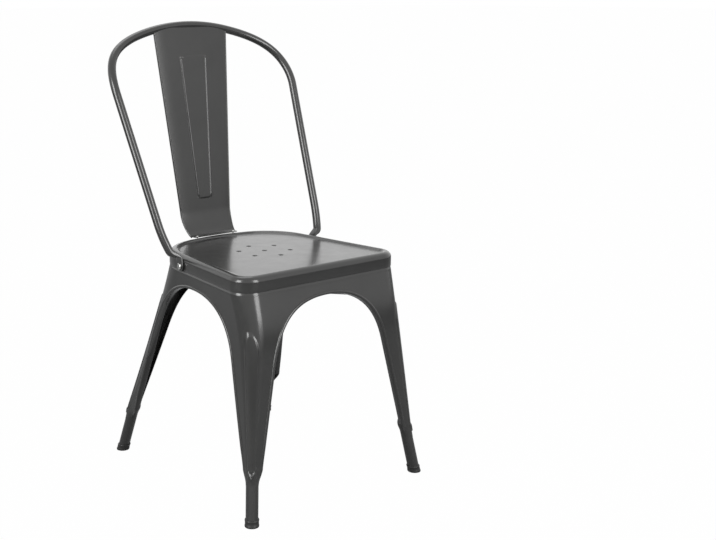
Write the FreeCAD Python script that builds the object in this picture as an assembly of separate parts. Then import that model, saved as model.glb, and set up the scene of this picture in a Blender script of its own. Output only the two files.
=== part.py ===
import FreeCAD, Part
import math
import os

V = FreeCAD.Vector

# Overall levels, heights above the floor
HOOP_TOP = 850.0
SEAT_TOP = 432.0
SKIRT_HEIGHT = 28.0
LIP_HEIGHT = 5.0
STEP_LEVEL = SEAT_TOP - SKIRT_HEIGHT
LIP_LEVEL = STEP_LEVEL - LIP_HEIGHT
SHOULDER_LEVEL = 330.0
NOTCH_LEVEL = 100.0

# Seat plan, virtual corner points before rounding
SEAT_FRONT_HALF = 189.5
SEAT_FRONT_Y = -181.0
SEAT_FRONT_RADIUS = 36.0
SEAT_REAR_HALF = 146.5
SEAT_REAR_Y = 142.0
SEAT_REAR_RADIUS = 110.0
SEAT_BACK_BOW = 27.0
BACK_RADIUS = 300.0

# Leg shells at the shoulder
SHOULDER_FRONT_HALF = 184.0
SHOULDER_FRONT_Y = -198.0
SHOULDER_FRONT_RADIUS = 32.0
SHOULDER_REAR_HALF = 151.5
SHOULDER_REAR_Y = 162.0
SHOULDER_REAR_RADIUS = 79.0
SHOULDER_BOW = 12.0

# Leg shells at the notch, where sheet turns to tube
NOTCH_FRONT_HALF = 197.0
NOTCH_FRONT_Y = -217.5
NOTCH_FRONT_RADIUS = 13.5
NOTCH_REAR_HALF = 183.5
NOTCH_REAR_Y = 208.5
NOTCH_REAR_RADIUS = 13.5
NOTCH_BOW = 3.0

# Sheet and leg details
SHEET = 2.0
LIP_INSET = 1.4
FLANGE_DEPTH = 11.0
RIB_RISE = 1.2
RIB_HALF = 13.5
RIB_END_SHARE = 0.6
RIB_BOTTOM = 116.0
RIB_SHOULDER = 308.0
RIB_TIP = 336.0
BAND_RISE = 16.0
SIDE_SEAM_Y = -9.0

# Feet
FOOT_FRONT_X = 199.5
FOOT_FRONT_Y = -223.0
FOOT_REAR_X = 185.0
FOOT_REAR_Y = 225.0
TUBE_RADIUS = 11.2
BOOT_BOTTOM = 80.0
BOOT_TOP = 104.0
BOOT_HALF = 13.3
BOOT_STEP = 0.6
BOOT_FLAT = 0.1
BOOT_LAP = 5.0
CAP_RADIUS = 12.9
CAP_HEIGHT = 13.0
CAP_FLOOR = 5.0

# Arches between the legs
FRONT_BAND = 26.0
FRONT_APEX = STEP_LEVEL - FRONT_BAND
FRONT_SPRING_HALF = 131.0
FRONT_FOOT_HALF = 170.5
REAR_BAND = 54.0
REAR_APEX = STEP_LEVEL - REAR_BAND
REAR_SPRING_HALF = 105.0
REAR_FOOT_HALF = 157.0
SIDE_BAND = 28.0
SIDE_APEX = STEP_LEVEL - SIDE_BAND
SIDE_SPRING_HALF = 136.0
SIDE_FOOT_HALF = 184.0
SPRING_LEVEL = 274.0
REAR_SPRING_LEVEL = 262.0
ARCH_FULLNESS = 0.62

# Seat pan
RIM_WIDTH = 12.0
RIM_RADIUS = 7.5
DISH_SLOPE = 9.0
DISH_DEPTH = 4.0
HOLE_DIAMETER = 8.5
HOLE_RING_RADIUS = 49.4
HOLE_COUNT = 6
HOLE_CENTRE_Y = -6.0
HOLE_FIRST_ANGLE = 30.0

# Back hoop, tube centre line
HOOP_TUBE_RADIUS = 7.75
HOOP_FLARE_X = 189.5
HOOP_FLARE_Y = 71.5
HOOP_FLARE_RISE = 58.0
HOOP_FLARE_Z = SEAT_TOP + HOOP_FLARE_RISE
HOOP_SHOULDER_X = 210.5
HOOP_SHOULDER_Y = 167.0
HOOP_SHOULDER_DROP = 130.0
HOOP_SHOULDER_Z = HOOP_TOP - HOOP_SHOULDER_DROP
HOOP_BEND_X = 195.5
HOOP_BEND_Y = 204.0
HOOP_BEND_DROP = 68.0
HOOP_BEND_Z = HOOP_TOP - HOOP_BEND_DROP
HOOP_BOW_X = 110.0
HOOP_BOW_Y = 233.0
HOOP_BOW_DROP = 22.5
HOOP_BOW_Z = HOOP_TOP - HOOP_BOW_DROP
HOOP_APEX_Y = 237.0
HOOP_NECK_X = 179.5
HOOP_NECK_Y = 49.5
HOOP_NECK_RISE = 9.0
HOOP_NECK_Z = SEAT_TOP + HOOP_NECK_RISE

# Flattened hoop ends and their bolts
BOLT_Y = 38.0
BOLT_DROP = 19.5
BOLT_Z = SEAT_TOP - BOLT_DROP
PADDLE_HALF = 10.0
PADDLE_THICK = 4.0
PADDLE_LENGTH = 17.0
PADDLE_LEAN = 22.0
BOLT_RADIUS = 3.0
BOLT_HEAD_RADIUS = 6.2
BOLT_HEAD_HEIGHT = 3.6
NUT_HALF = 5.0
NUT_HEIGHT = 5.0
BOLT_TAIL = 3.0

# Back splat
SPLAT_SHEET = 1.6
SPLAT_TOP_DROP = 12.0
SPLAT_TOP_Z = HOOP_TOP - SPLAT_TOP_DROP
SPLAT_TOP_Y = 231.0
SPLAT_TOP_HALF = 85.0
SPLAT_KNEE_RISE = 48.0
SPLAT_KNEE_Z = SEAT_TOP + SPLAT_KNEE_RISE
SPLAT_KNEE_Y = 185.0
SPLAT_KNEE_HALF = 58.5
SPLAT_BEND_RISE = 16.0
SPLAT_BEND_Z = SEAT_TOP + SPLAT_BEND_RISE
SPLAT_BEND_Y = 173.0
SPLAT_FOOT_Y = 149.5
SPLAT_REST = 7.0
SPLAT_FOOT_HALF = 51.5
SPLAT_ROLL_RADIUS = 2.2
SPLAT_ROLL_START = 6.0
PANEL_RISE = 1.2
PANEL_TOP_MARGIN = 54.0
PANEL_TOP_Z = SPLAT_TOP_Z - PANEL_TOP_MARGIN
PANEL_TOP_HALF = 31.0
PANEL_BOTTOM_MARGIN = 23.0
PANEL_BOTTOM_Z = SPLAT_KNEE_Z + PANEL_BOTTOM_MARGIN
PANEL_BOTTOM_HALF = 16.5
PANEL_CORNER = 8.0
RIVET_X = 44.0
RIVET_RADIUS = 3.2
RIVET_SHANK = 1.6

# Cross braces under the seat
BRACE_DROP = 53.0
BRACE_BOTTOM = STEP_LEVEL - BRACE_DROP
BRACE_THICK = 3.0
BRACE_WIDTH = 22.0
BRACE_RIVET_RADIUS = 4.0
BRACE_HEAD_RADIUS = 7.0
BRACE_HEAD_HEIGHT = 2.5

# Stacking bumper on the back of the skirt
BUMPER_DROP = 19.0
BUMPER_Z = SEAT_TOP - BUMPER_DROP
BUMPER_RADIUS = 6.0
BUMPER_STANDOUT = 6.0
BUMPER_STEM = 3.0

# Helper sizes for cutting solids, larger than the chair
FAR = 600.0
DIAGONAL = math.sqrt(0.5)


def corner_arc(corner, before, after, radius):
    """Tangent points and middle point of the rounding at one plan corner."""
    to_before = (before - corner).normalize()
    to_after = (after - corner).normalize()
    half_angle = to_before.getAngle(to_after) / 2.0
    bisector = (to_before + to_after).normalize()
    centre = corner + bisector * (radius / math.sin(half_angle))
    reach = radius / math.tan(half_angle)
    start = corner + to_before * reach
    end = corner + to_after * reach
    middle = centre - bisector * radius
    return start, middle, end


def offset_corners(corners, inset):
    """Move every side of a plan outline inward by the inset."""
    count = len(corners)
    moved = []
    for index in range(count):
        corner = corners[index]
        before = corners[index - 1]
        after = corners[(index + 1) % count]
        to_before = (before - corner).normalize()
        to_after = (after - corner).normalize()
        half_angle = to_before.getAngle(to_after) / 2.0
        bisector = (to_before + to_after).normalize()
        moved.append(corner + bisector * (inset / math.sin(half_angle)))
    return moved


def rounded_wire(corners, radii):
    """Closed wire of straight sides and tangent arcs."""
    count = len(corners)
    arcs = []
    for index in range(count):
        before = corners[index - 1]
        after = corners[(index + 1) % count]
        arcs.append(corner_arc(corners[index], before, after, radii[index]))
    edges = []
    for index in range(count):
        start, middle, end = arcs[index]
        edges.append(Part.Arc(start, middle, end).toShape())
        following = arcs[(index + 1) % count][0]
        edges.append(Part.makeLine(end, following))
    return Part.Wire(edges)


def plan_wire(level, inset, front, rear, bow):
    """Plan outline of seat or legs; front and rear are half width, y and radius."""
    front_half, front_y, front_radius = front
    rear_half, rear_y, rear_radius = rear
    corners = [
        V(front_half, front_y, level),
        V(rear_half, rear_y, level),
        V(0, rear_y + bow, level),
        V(-rear_half, rear_y, level),
        V(-front_half, front_y, level),
    ]
    moved = offset_corners(corners, inset)
    radii = [front_radius, rear_radius, BACK_RADIUS, rear_radius, front_radius]
    return rounded_wire(moved, [radius - inset for radius in radii])


def seat_wire(level, inset):
    """Plan outline of the seat at one level."""
    front = (SEAT_FRONT_HALF, SEAT_FRONT_Y, SEAT_FRONT_RADIUS)
    rear = (SEAT_REAR_HALF, SEAT_REAR_Y, SEAT_REAR_RADIUS)
    return plan_wire(level, inset, front, rear, SEAT_BACK_BOW)


def shoulder_wire(inset):
    """Plan outline of the leg shells at the shoulder."""
    front = (SHOULDER_FRONT_HALF, SHOULDER_FRONT_Y, SHOULDER_FRONT_RADIUS)
    rear = (SHOULDER_REAR_HALF, SHOULDER_REAR_Y, SHOULDER_REAR_RADIUS)
    return plan_wire(SHOULDER_LEVEL, inset, front, rear, SHOULDER_BOW)


def notch_wire(inset):
    """Plan outline of the leg shells at the notch."""
    front = (NOTCH_FRONT_HALF, NOTCH_FRONT_Y, NOTCH_FRONT_RADIUS)
    rear = (NOTCH_REAR_HALF, NOTCH_REAR_Y, NOTCH_REAR_RADIUS)
    return plan_wire(NOTCH_LEVEL, inset, front, rear, NOTCH_BOW)


def leg_block(inset):
    """Solid block inside the four leg faces, from notch to step."""
    wires = [
        notch_wire(inset),
        shoulder_wire(inset),
        seat_wire(LIP_LEVEL, inset),
        seat_wire(STEP_LEVEL, inset + LIP_INSET),
    ]
    return Part.makeLoft(wires, True, True)


def arch_wire(apex, spring_half, foot_half, spring_level, grow):
    """Arch outline in the plane of width and height, grown by a margin."""
    rise = apex - spring_level
    foot = foot_half + grow
    spring = spring_half + grow
    top = apex + grow
    slope = (foot_half - spring_half) / (spring_level - NOTCH_LEVEL)
    floor_half = foot + slope * NOTCH_LEVEL
    lean = V(-slope, 0, 1)
    half_poles = [
        V(spring, 0, spring_level),
        V(spring, 0, spring_level) + lean * (rise * ARCH_FULLNESS),
        V(spring * ARCH_FULLNESS, 0, top),
        V(0, 0, top),
    ]
    right = Part.BezierCurve()
    right.setPoles(half_poles)
    left = Part.BezierCurve()
    left.setPoles([V(-pole.x, 0, pole.z) for pole in reversed(half_poles)])
    edges = [
        Part.makeLine(V(floor_half, 0, 0), half_poles[0]),
        right.toShape(),
        left.toShape(),
        Part.makeLine(V(-spring, 0, spring_level), V(-floor_half, 0, 0)),
        Part.makeLine(V(-floor_half, 0, 0), V(floor_half, 0, 0)),
    ]
    return Part.Wire(edges)


def front_arch(grow):
    """Prism that opens the front face."""
    wire = arch_wire(FRONT_APEX, FRONT_SPRING_HALF, FRONT_FOOT_HALF, SPRING_LEVEL, grow)
    return Part.Face(wire).extrude(V(0, -FAR, 0))


def rear_arch(grow):
    """Prism that opens the rear face."""
    wire = arch_wire(REAR_APEX, REAR_SPRING_HALF, REAR_FOOT_HALF, REAR_SPRING_LEVEL, grow)
    return Part.Face(wire).extrude(V(0, FAR, 0))


def side_arch(grow):
    """Prism that opens both side faces."""
    wire = arch_wire(SIDE_APEX, SIDE_SPRING_HALF, SIDE_FOOT_HALF, SPRING_LEVEL, grow)
    prism = Part.Face(wire).extrude(V(0, 2 * FAR, 0))
    prism.translate(V(0, -FAR, 0))
    prism.rotate(V(0, 0, 0), V(0, 0, 1), 90)
    prism.translate(V(0, SIDE_SEAM_Y, 0))
    return prism


def arch_openings(grow):
    """All arch prisms as one shape."""
    return front_arch(grow).fuse([rear_arch(grow), side_arch(grow)])


def hanging_band():
    """Upright band that laps inside the seat skirt."""
    outer = Part.Face(seat_wire(STEP_LEVEL, SHEET)).extrude(V(0, 0, BAND_RISE))
    inner = Part.Face(seat_wire(STEP_LEVEL, 2 * SHEET)).extrude(V(0, 0, BAND_RISE))
    return outer.cut(inner)


def leg_ring():
    """Sheet of all four legs with turned-in arch flanges."""
    outer = leg_block(0)
    sheet = outer.cut(leg_block(SHEET)).cut(arch_openings(0))
    flange_zone = outer.cut(leg_block(FLANGE_DEPTH))
    flange = flange_zone.common(arch_openings(SHEET)).cut(arch_openings(0))
    return sheet.fuse([flange, hanging_band()])


def rib_blade(side_x, side_y, corner_x, corner_y):
    """Diagonal prism with a pointed top, as wide as the corner rib."""
    across = V(side_y, -side_x, 0) * DIAGONAL
    outward = V(side_x, side_y, 0) * DIAGONAL
    base = V(corner_x, corner_y, 0) - outward * (FAR / 4)
    rib_round = RIB_SHOULDER + (RIB_TIP - RIB_SHOULDER) * ARCH_FULLNESS
    points = [
        base - across * RIB_HALF * RIB_END_SHARE + V(0, 0, RIB_BOTTOM),
        base + across * RIB_HALF * RIB_END_SHARE + V(0, 0, RIB_BOTTOM),
        base + across * RIB_HALF + V(0, 0, RIB_SHOULDER),
        base + across * RIB_HALF * RIB_END_SHARE + V(0, 0, rib_round),
        base + V(0, 0, RIB_TIP),
        base - across * RIB_HALF * RIB_END_SHARE + V(0, 0, rib_round),
        base - across * RIB_HALF + V(0, 0, RIB_SHOULDER),
    ]
    face = Part.Face(Part.makePolygon(points + points[:1]))
    return face.extrude(outward * FAR)


def square_wire(centre, half, radius):
    """Small rounded square, axis aligned, at the height of its centre."""
    corners = [
        centre + V(half, -half, 0),
        centre + V(half, half, 0),
        centre + V(-half, half, 0),
        centre + V(-half, -half, 0),
    ]
    return rounded_wire(corners, [radius] * len(corners))


def notch_centre(side_x, side_y, radius):
    """Axis point at notch height for a round of the given radius in the corner."""
    if side_y < 0:
        half, depth, corner_radius = NOTCH_FRONT_HALF, -NOTCH_FRONT_Y, NOTCH_FRONT_RADIUS
    else:
        half, depth, corner_radius = NOTCH_REAR_HALF, NOTCH_REAR_Y, NOTCH_REAR_RADIUS
    shift = (corner_radius - radius) * DIAGONAL
    across = half - corner_radius + shift
    along = depth - corner_radius + shift
    return V(side_x * across, side_y * along, NOTCH_LEVEL)


def foot_point(side_x, side_y):
    """Centre of the foot on the floor."""
    if side_y < 0:
        return V(side_x * FOOT_FRONT_X, FOOT_FRONT_Y, 0)
    return V(side_x * FOOT_REAR_X, FOOT_REAR_Y, 0)


def axis_point(side_x, side_y, level):
    """Point of the lower tube axis at a level."""
    foot = foot_point(side_x, side_y)
    notch = notch_centre(side_x, side_y, TUBE_RADIUS)
    return foot + (notch - foot) * (level / NOTCH_LEVEL)


def axis_cylinder(side_x, side_y, radius, low, high):
    """Round bar along the lower tube axis between two levels."""
    start = axis_point(side_x, side_y, low)
    end = axis_point(side_x, side_y, high)
    return Part.makeCylinder(radius, (end - start).Length, start, end - start)


def lower_tube(side_x, side_y):
    """Round tube part of a leg with the boot that meets the sheet."""
    low = axis_point(side_x, side_y, BOOT_BOTTOM)
    high = notch_centre(side_x, side_y, BOOT_HALF)
    high.z = BOOT_TOP
    lower_half = TUBE_RADIUS + BOOT_STEP
    lower = square_wire(low, lower_half, lower_half - BOOT_FLAT)
    upper = square_wire(high, BOOT_HALF, BOOT_HALF - BOOT_FLAT)
    boot = Part.makeLoft([lower, upper], True, True)
    tube = axis_cylinder(side_x, side_y, TUBE_RADIUS, CAP_FLOOR, BOOT_BOTTOM + BOOT_LAP)
    return tube.fuse(boot)


def quadrant(side_x, side_y):
    """Box around one leg, split at the front, rear and side seams."""
    low_x = min(0, side_x * FAR)
    low_y = SIDE_SEAM_Y - FAR if side_y < 0 else SIDE_SEAM_Y
    return Part.makeBox(FAR, FAR, FAR, V(low_x, low_y, 0))


def make_leg(ring, ribs, side_x, side_y):
    """One leg: its quarter of the sheet ring, corner rib and lower tube."""
    box = quadrant(side_x, side_y)
    quarter = ring.common(box)
    blade = rib_blade(side_x, side_y, side_x * NOTCH_FRONT_HALF, side_y * NOTCH_REAR_Y)
    rib = ribs.common(blade).common(box)
    return largest_solid(quarter.fuse([rib, lower_tube(side_x, side_y)]))


def make_cap(side_x, side_y):
    """Foot cap over the tube end."""
    blank = axis_cylinder(side_x, side_y, CAP_RADIUS, -CAP_HEIGHT, CAP_HEIGHT)
    above_floor = Part.makeBox(2 * FAR, 2 * FAR, FAR, V(-FAR, -FAR, 0))
    socket = axis_cylinder(side_x, side_y, TUBE_RADIUS, CAP_FLOOR, 2 * CAP_HEIGHT)
    return blank.common(above_floor).cut(socket)


def round_top_edges(block, level, radius):
    """Fillet every edge lying on the top plane."""
    edges = []
    for edge in block.Edges:
        box = edge.BoundBox
        if abs(box.ZMin - level) < 0.01 and abs(box.ZMax - level) < 0.01:
            edges.append(edge)
    return block.makeFillet(radius, edges)


def skirt_face_x(y):
    """Half width of the straight side of the skirt at a given y."""
    share = (y - SEAT_FRONT_Y) / (SEAT_REAR_Y - SEAT_FRONT_Y)
    return SEAT_FRONT_HALF + (SEAT_REAR_HALF - SEAT_FRONT_HALF) * share


def side_normal(side_x):
    """Outward direction of the straight side of the skirt."""
    run = V(SEAT_REAR_HALF - SEAT_FRONT_HALF, SEAT_REAR_Y - SEAT_FRONT_Y, 0).normalize()
    return V(side_x * run.y, -run.x, 0)


def bolt_point(side_x):
    """Point where a hoop bolt meets the outside of the skirt."""
    return V(side_x * skirt_face_x(BOLT_Y), BOLT_Y, BOLT_Z)


def bolt_bar(side_x, radius, inside, outside):
    """Round bar on a hoop bolt axis, from inside to outside of the skirt face."""
    normal = side_normal(side_x)
    start = bolt_point(side_x) - normal * inside
    return Part.makeCylinder(radius, inside + outside, start, normal)


def make_seat():
    """Seat pan: skirt, rolled rim, shallow dish and drain holes."""
    block = Part.Face(seat_wire(STEP_LEVEL, 0)).extrude(V(0, 0, SEAT_TOP - STEP_LEVEL))
    block = round_top_edges(block, SEAT_TOP, RIM_RADIUS)
    dish_floor = SEAT_TOP - DISH_DEPTH
    dish = Part.makeLoft([seat_wire(dish_floor, RIM_WIDTH + DISH_SLOPE), seat_wire(SEAT_TOP, RIM_WIDTH)], True, True)
    ceiling = dish_floor - SHEET
    skirt_void = Part.Face(seat_wire(STEP_LEVEL, SHEET)).extrude(V(0, 0, ceiling - STEP_LEVEL))
    pan = block.cut([dish, skirt_void])
    pan = pan.cut(drain_holes())
    for side_x in (-1, 1):
        pan = pan.cut(bolt_bar(side_x, BOLT_RADIUS, RIM_WIDTH, RIM_WIDTH))
    stem = Part.makeCylinder(BUMPER_STEM, FAR, V(0, 0, BUMPER_Z), V(0, 1, 0))
    return pan.cut(stem)


def drain_holes():
    """Centre hole and its ring."""
    low = STEP_LEVEL
    holes = [Part.makeCylinder(HOLE_DIAMETER / 2, SEAT_TOP - low, V(0, HOLE_CENTRE_Y, low))]
    for index in range(HOLE_COUNT):
        angle = math.radians(HOLE_FIRST_ANGLE + index * 360.0 / HOLE_COUNT)
        x = HOLE_RING_RADIUS * math.cos(angle)
        y = HOLE_CENTRE_Y + HOLE_RING_RADIUS * math.sin(angle)
        holes.append(Part.makeCylinder(HOLE_DIAMETER / 2, SEAT_TOP - low, V(x, y, low)))
    return holes


def hoop_side(side_x):
    """Neck, flare and shoulder points of one side of the tube centre line."""
    neck = V(side_x * HOOP_NECK_X, HOOP_NECK_Y, HOOP_NECK_Z)
    flare = V(side_x * HOOP_FLARE_X, HOOP_FLARE_Y, HOOP_FLARE_Z)
    shoulder = V(side_x * HOOP_SHOULDER_X, HOOP_SHOULDER_Y, HOOP_SHOULDER_Z)
    return neck, flare, shoulder


def rising_way(side_x):
    """Upward direction of the straight run of one side."""
    neck, flare, shoulder = hoop_side(side_x)
    return (shoulder - flare).normalize()


def neck_way(side_x):
    """Upward direction of the tube at its neck."""
    neck, flare, shoulder = hoop_side(side_x)
    return ((flare - neck).normalize() * 2 - rising_way(side_x)).normalize()


def swept_tube(curve, start, way):
    """Round bar swept along one curve."""
    profile = Part.Wire([Part.makeCircle(HOOP_TUBE_RADIUS, start, way)])
    return Part.Wire([curve.toShape()]).makePipeShell([profile], True, True)


def hoop_straight(side_x):
    """Straight run of one side."""
    neck, flare, shoulder = hoop_side(side_x)
    return Part.makeCylinder(HOOP_TUBE_RADIUS, (shoulder - flare).Length, flare, shoulder - flare)


def hoop_bend(side_x):
    """Gentle bend between neck and straight run."""
    neck, flare, shoulder = hoop_side(side_x)
    reach = (flare - neck).Length / 3
    curve = Part.BezierCurve()
    curve.setPoles([neck, neck + neck_way(side_x) * reach, flare - rising_way(side_x) * reach, flare])
    return swept_tube(curve, neck, neck_way(side_x))


def hoop_half_bow(side_x):
    """Curved top of the hoop from one shoulder to the apex."""
    shoulder = hoop_side(side_x)[2]
    points = [
        shoulder,
        V(side_x * HOOP_BEND_X, HOOP_BEND_Y, HOOP_BEND_Z),
        V(side_x * HOOP_BOW_X, HOOP_BOW_Y, HOOP_BOW_Z),
        V(0, HOOP_APEX_Y, HOOP_TOP - HOOP_TUBE_RADIUS),
    ]
    curve = Part.BSplineCurve()
    curve.interpolate(points, InitialTangent=rising_way(side_x), FinalTangent=V(-side_x, 0, 0))
    return swept_tube(curve, shoulder, rising_way(side_x))


def paddle_frame(side_x):
    """Long direction, width direction and normal of a flattened hoop end."""
    normal = side_normal(side_x)
    flat_back = V(-side_x * normal.y, side_x * normal.x, 0)
    lean = math.radians(PADDLE_LEAN)
    long_way = V(0, 0, 1) * math.cos(lean) + flat_back * math.sin(lean)
    return long_way, normal.cross(long_way), normal


def paddle(side_x):
    """Flat rounded plate at the hoop end, lying on the skirt."""
    long_way, wide_way, normal = paddle_frame(side_x)
    centre = bolt_point(side_x)
    top = centre + long_way * PADDLE_LENGTH
    left_low = centre - wide_way * PADDLE_HALF
    right_low = centre + wide_way * PADDLE_HALF
    edges = [
        Part.Arc(left_low, centre - long_way * PADDLE_HALF, right_low).toShape(),
        Part.makeLine(right_low, top + wide_way * PADDLE_HALF),
        Part.makeLine(top + wide_way * PADDLE_HALF, top - wide_way * PADDLE_HALF),
        Part.makeLine(top - wide_way * PADDLE_HALF, left_low),
    ]
    return Part.Face(Part.Wire(edges)).extrude(normal * PADDLE_THICK)


def hoop_neck(side_x):
    """Blend from the round tube to the flat paddle."""
    long_way, wide_way, normal = paddle_frame(side_x)
    flat_centre = bolt_point(side_x) + long_way * (PADDLE_LENGTH - 2 * SHEET) + normal * (PADDLE_THICK / 2)
    flat = Part.Ellipse(
        flat_centre + wide_way * PADDLE_HALF,
        flat_centre + normal * (PADDLE_THICK / 2),
        flat_centre,
    )
    rim = Part.makeCircle(HOOP_TUBE_RADIUS, hoop_side(side_x)[0], neck_way(side_x))
    return Part.makeLoft([Part.Wire([rim]), Part.Wire([flat.toShape()])], True, True)


def make_hoop(seat):
    """Bent back tube with flattened, drilled ends."""
    pieces = [hoop_half_bow(1)]
    for side_x in (-1, 1):
        pieces += [hoop_straight(side_x), hoop_bend(side_x), hoop_neck(side_x), paddle(side_x)]
    hoop = hoop_half_bow(-1).fuse(pieces)
    for side_x in (-1, 1):
        hoop = hoop.cut(bolt_bar(side_x, BOLT_RADIUS, RIM_WIDTH, FAR / 10))
    return hoop.cut(seat)


def splat_outline():
    """Front outline of the splat, extruded to a prism."""
    half = [
        V(SPLAT_FOOT_HALF, 0, STEP_LEVEL),
        V(SPLAT_FOOT_HALF, 0, SEAT_TOP),
        V(SPLAT_KNEE_HALF, 0, SPLAT_KNEE_Z),
        V(SPLAT_TOP_HALF, 0, SPLAT_TOP_Z),
    ]
    mirrored = [V(-point.x, 0, point.z) for point in reversed(half)]
    outline = half + mirrored
    return Part.Face(Part.makePolygon(outline + outline[:1])).extrude(V(0, FAR, 0))


def splat_normal():
    """Backward direction square to the straight part of the splat."""
    rise = V(0, SPLAT_TOP_Y - SPLAT_KNEE_Y, SPLAT_TOP_Z - SPLAT_KNEE_Z).normalize()
    return V(0, rise.z, -rise.y)


def splat_slab():
    """Bent sheet of the splat before its outline is cut."""
    behind = splat_normal() * SPLAT_SHEET
    toe = V(-SPLAT_TOP_HALF, SPLAT_FOOT_Y, SEAT_TOP + SPLAT_SHEET)
    rest = toe + V(0, SPLAT_REST, 0)
    bend = V(-SPLAT_TOP_HALF, SPLAT_BEND_Y, SPLAT_BEND_Z)
    knee = V(-SPLAT_TOP_HALF, SPLAT_KNEE_Y, SPLAT_KNEE_Z)
    top = V(-SPLAT_TOP_HALF, SPLAT_TOP_Y, SPLAT_TOP_Z)
    down = V(0, 0, -SPLAT_SHEET)
    diagonal = V(0, SPLAT_SHEET, -SPLAT_SHEET) * DIAGONAL
    edges = [
        Part.makeLine(toe, rest),
        Part.Arc(rest, bend, knee).toShape(),
        Part.makeLine(knee, top),
        Part.makeLine(top, top + behind),
        Part.makeLine(top + behind, knee + behind),
        Part.Arc(knee + behind, bend + diagonal, rest + down).toShape(),
        Part.makeLine(rest + down, toe + down),
        Part.makeLine(toe + down, toe),
    ]
    return Part.Face(Part.Wire(edges)).extrude(V(2 * SPLAT_TOP_HALF, 0, 0))


def raised_panel():
    """Raised panel on the straight part of the splat."""
    corners = [
        V(-PANEL_BOTTOM_HALF, 0, PANEL_BOTTOM_Z),
        V(PANEL_BOTTOM_HALF, 0, PANEL_BOTTOM_Z),
        V(PANEL_TOP_HALF, 0, PANEL_TOP_Z),
        V(-PANEL_TOP_HALF, 0, PANEL_TOP_Z),
    ]
    outline = Part.Face(rounded_wire(corners, [PANEL_CORNER] * len(corners))).extrude(V(0, FAR, 0))
    knee = V(-SPLAT_TOP_HALF, SPLAT_KNEE_Y, SPLAT_KNEE_Z)
    top = V(-SPLAT_TOP_HALF, SPLAT_TOP_Y, SPLAT_TOP_Z)
    front = splat_normal() * -PANEL_RISE
    back = splat_normal() * (SPLAT_SHEET / 2)
    section = [knee + front, top + front, top + back, knee + back]
    slab = Part.Face(Part.makePolygon(section + section[:1])).extrude(V(2 * SPLAT_TOP_HALF, 0, 0))
    return slab.common(outline)


def rolled_edge(side_x):
    """Rolled bead along one long edge of the splat."""
    knee = V(side_x * SPLAT_KNEE_HALF, SPLAT_KNEE_Y, SPLAT_KNEE_Z) + splat_normal() * SPLAT_SHEET
    top = V(side_x * SPLAT_TOP_HALF, SPLAT_TOP_Y, SPLAT_TOP_Z) + splat_normal() * SPLAT_SHEET
    run = (top - knee).normalize()
    start = knee + run * SPLAT_ROLL_START
    return Part.makeCylinder(SPLAT_ROLL_RADIUS, (top - start).Length, start, run)


def make_splat(hoop, seat):
    """Back splat: bent sheet, raised panel and rolled long edges."""
    sheet = splat_slab().common(splat_outline())
    splat = sheet.fuse([raised_panel(), rolled_edge(-1), rolled_edge(1)])
    shank = [rivet_bar(side_x, RIVET_SHANK, SEAT_TOP - SHEET, SEAT_TOP + RIVET_RADIUS) for side_x in (-1, 1)]
    return largest_solid(splat.cut([hoop, seat] + shank))


def largest_solid(shape):
    """Main body of a cut, without loose slivers."""
    return max(shape.Solids, key=lambda solid: solid.Volume)


def rivet_bar(side_x, radius, low, high):
    """Upright bar at a splat rivet."""
    rivet_y = SPLAT_FOOT_Y + SPLAT_REST / 2
    return Part.makeCylinder(radius, high - low, V(side_x * RIVET_X, rivet_y, low))


def make_splat_rivets(splat):
    """Two dome rivets through the foot of the splat."""
    rivets = []
    head_level = SEAT_TOP + SPLAT_SHEET
    for side_x in (-1, 1):
        shank = rivet_bar(side_x, RIVET_SHANK, SEAT_TOP, head_level)
        head = Part.makeSphere(RIVET_RADIUS, V(side_x * RIVET_X, SPLAT_FOOT_Y + SPLAT_REST / 2, head_level))
        above = Part.makeBox(2 * FAR, 2 * FAR, FAR, V(-FAR, -FAR, head_level))
        rivets.append(head.common(above).fuse(shank))
    return Part.makeCompound([rivet.cut(splat) for rivet in rivets])


def make_hoop_bolt(side_x):
    """Round-head bolt through hoop end and skirt."""
    shank = bolt_bar(side_x, BOLT_RADIUS, SHEET * 2 + NUT_HEIGHT + BOLT_TAIL, PADDLE_THICK)
    head_base = bolt_point(side_x) + side_normal(side_x) * PADDLE_THICK
    head = Part.makeCylinder(BOLT_HEAD_RADIUS, BOLT_HEAD_HEIGHT, head_base, side_normal(side_x))
    rim = [edge for edge in head.Edges if edge.Closed and edge.CenterOfMass.distanceToPoint(head_base) > 1]
    head = head.makeFillet(BOLT_HEAD_HEIGHT * 0.6, rim)
    return shank.fuse(head)


def make_hoop_nut(side_x):
    """Hex nut inside the skirt."""
    normal = side_normal(side_x)
    start = bolt_point(side_x) - normal * (2 * SHEET)
    wide_way = V(0, 0, 1).cross(normal)
    corners = []
    for index in range(6):
        angle = math.radians(60 * index)
        corners.append(start + wide_way * NUT_HALF * math.cos(angle) + V(0, 0, 1) * NUT_HALF * math.sin(angle))
    nut = Part.Face(Part.makePolygon(corners + corners[:1])).extrude(normal * -NUT_HEIGHT)
    return nut.cut(bolt_bar(side_x, BOLT_RADIUS, FAR / 10, FAR / 10))


def brace_end(side_x, side_y):
    """Plan point on the leg corner that a brace aims at."""
    if side_y < 0:
        return V(side_x * (SHOULDER_FRONT_HALF - SHOULDER_FRONT_RADIUS / 2), SHOULDER_FRONT_Y, 0)
    return V(side_x * (SHOULDER_REAR_HALF - SHOULDER_REAR_RADIUS / 4), SHOULDER_REAR_Y, 0)


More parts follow.
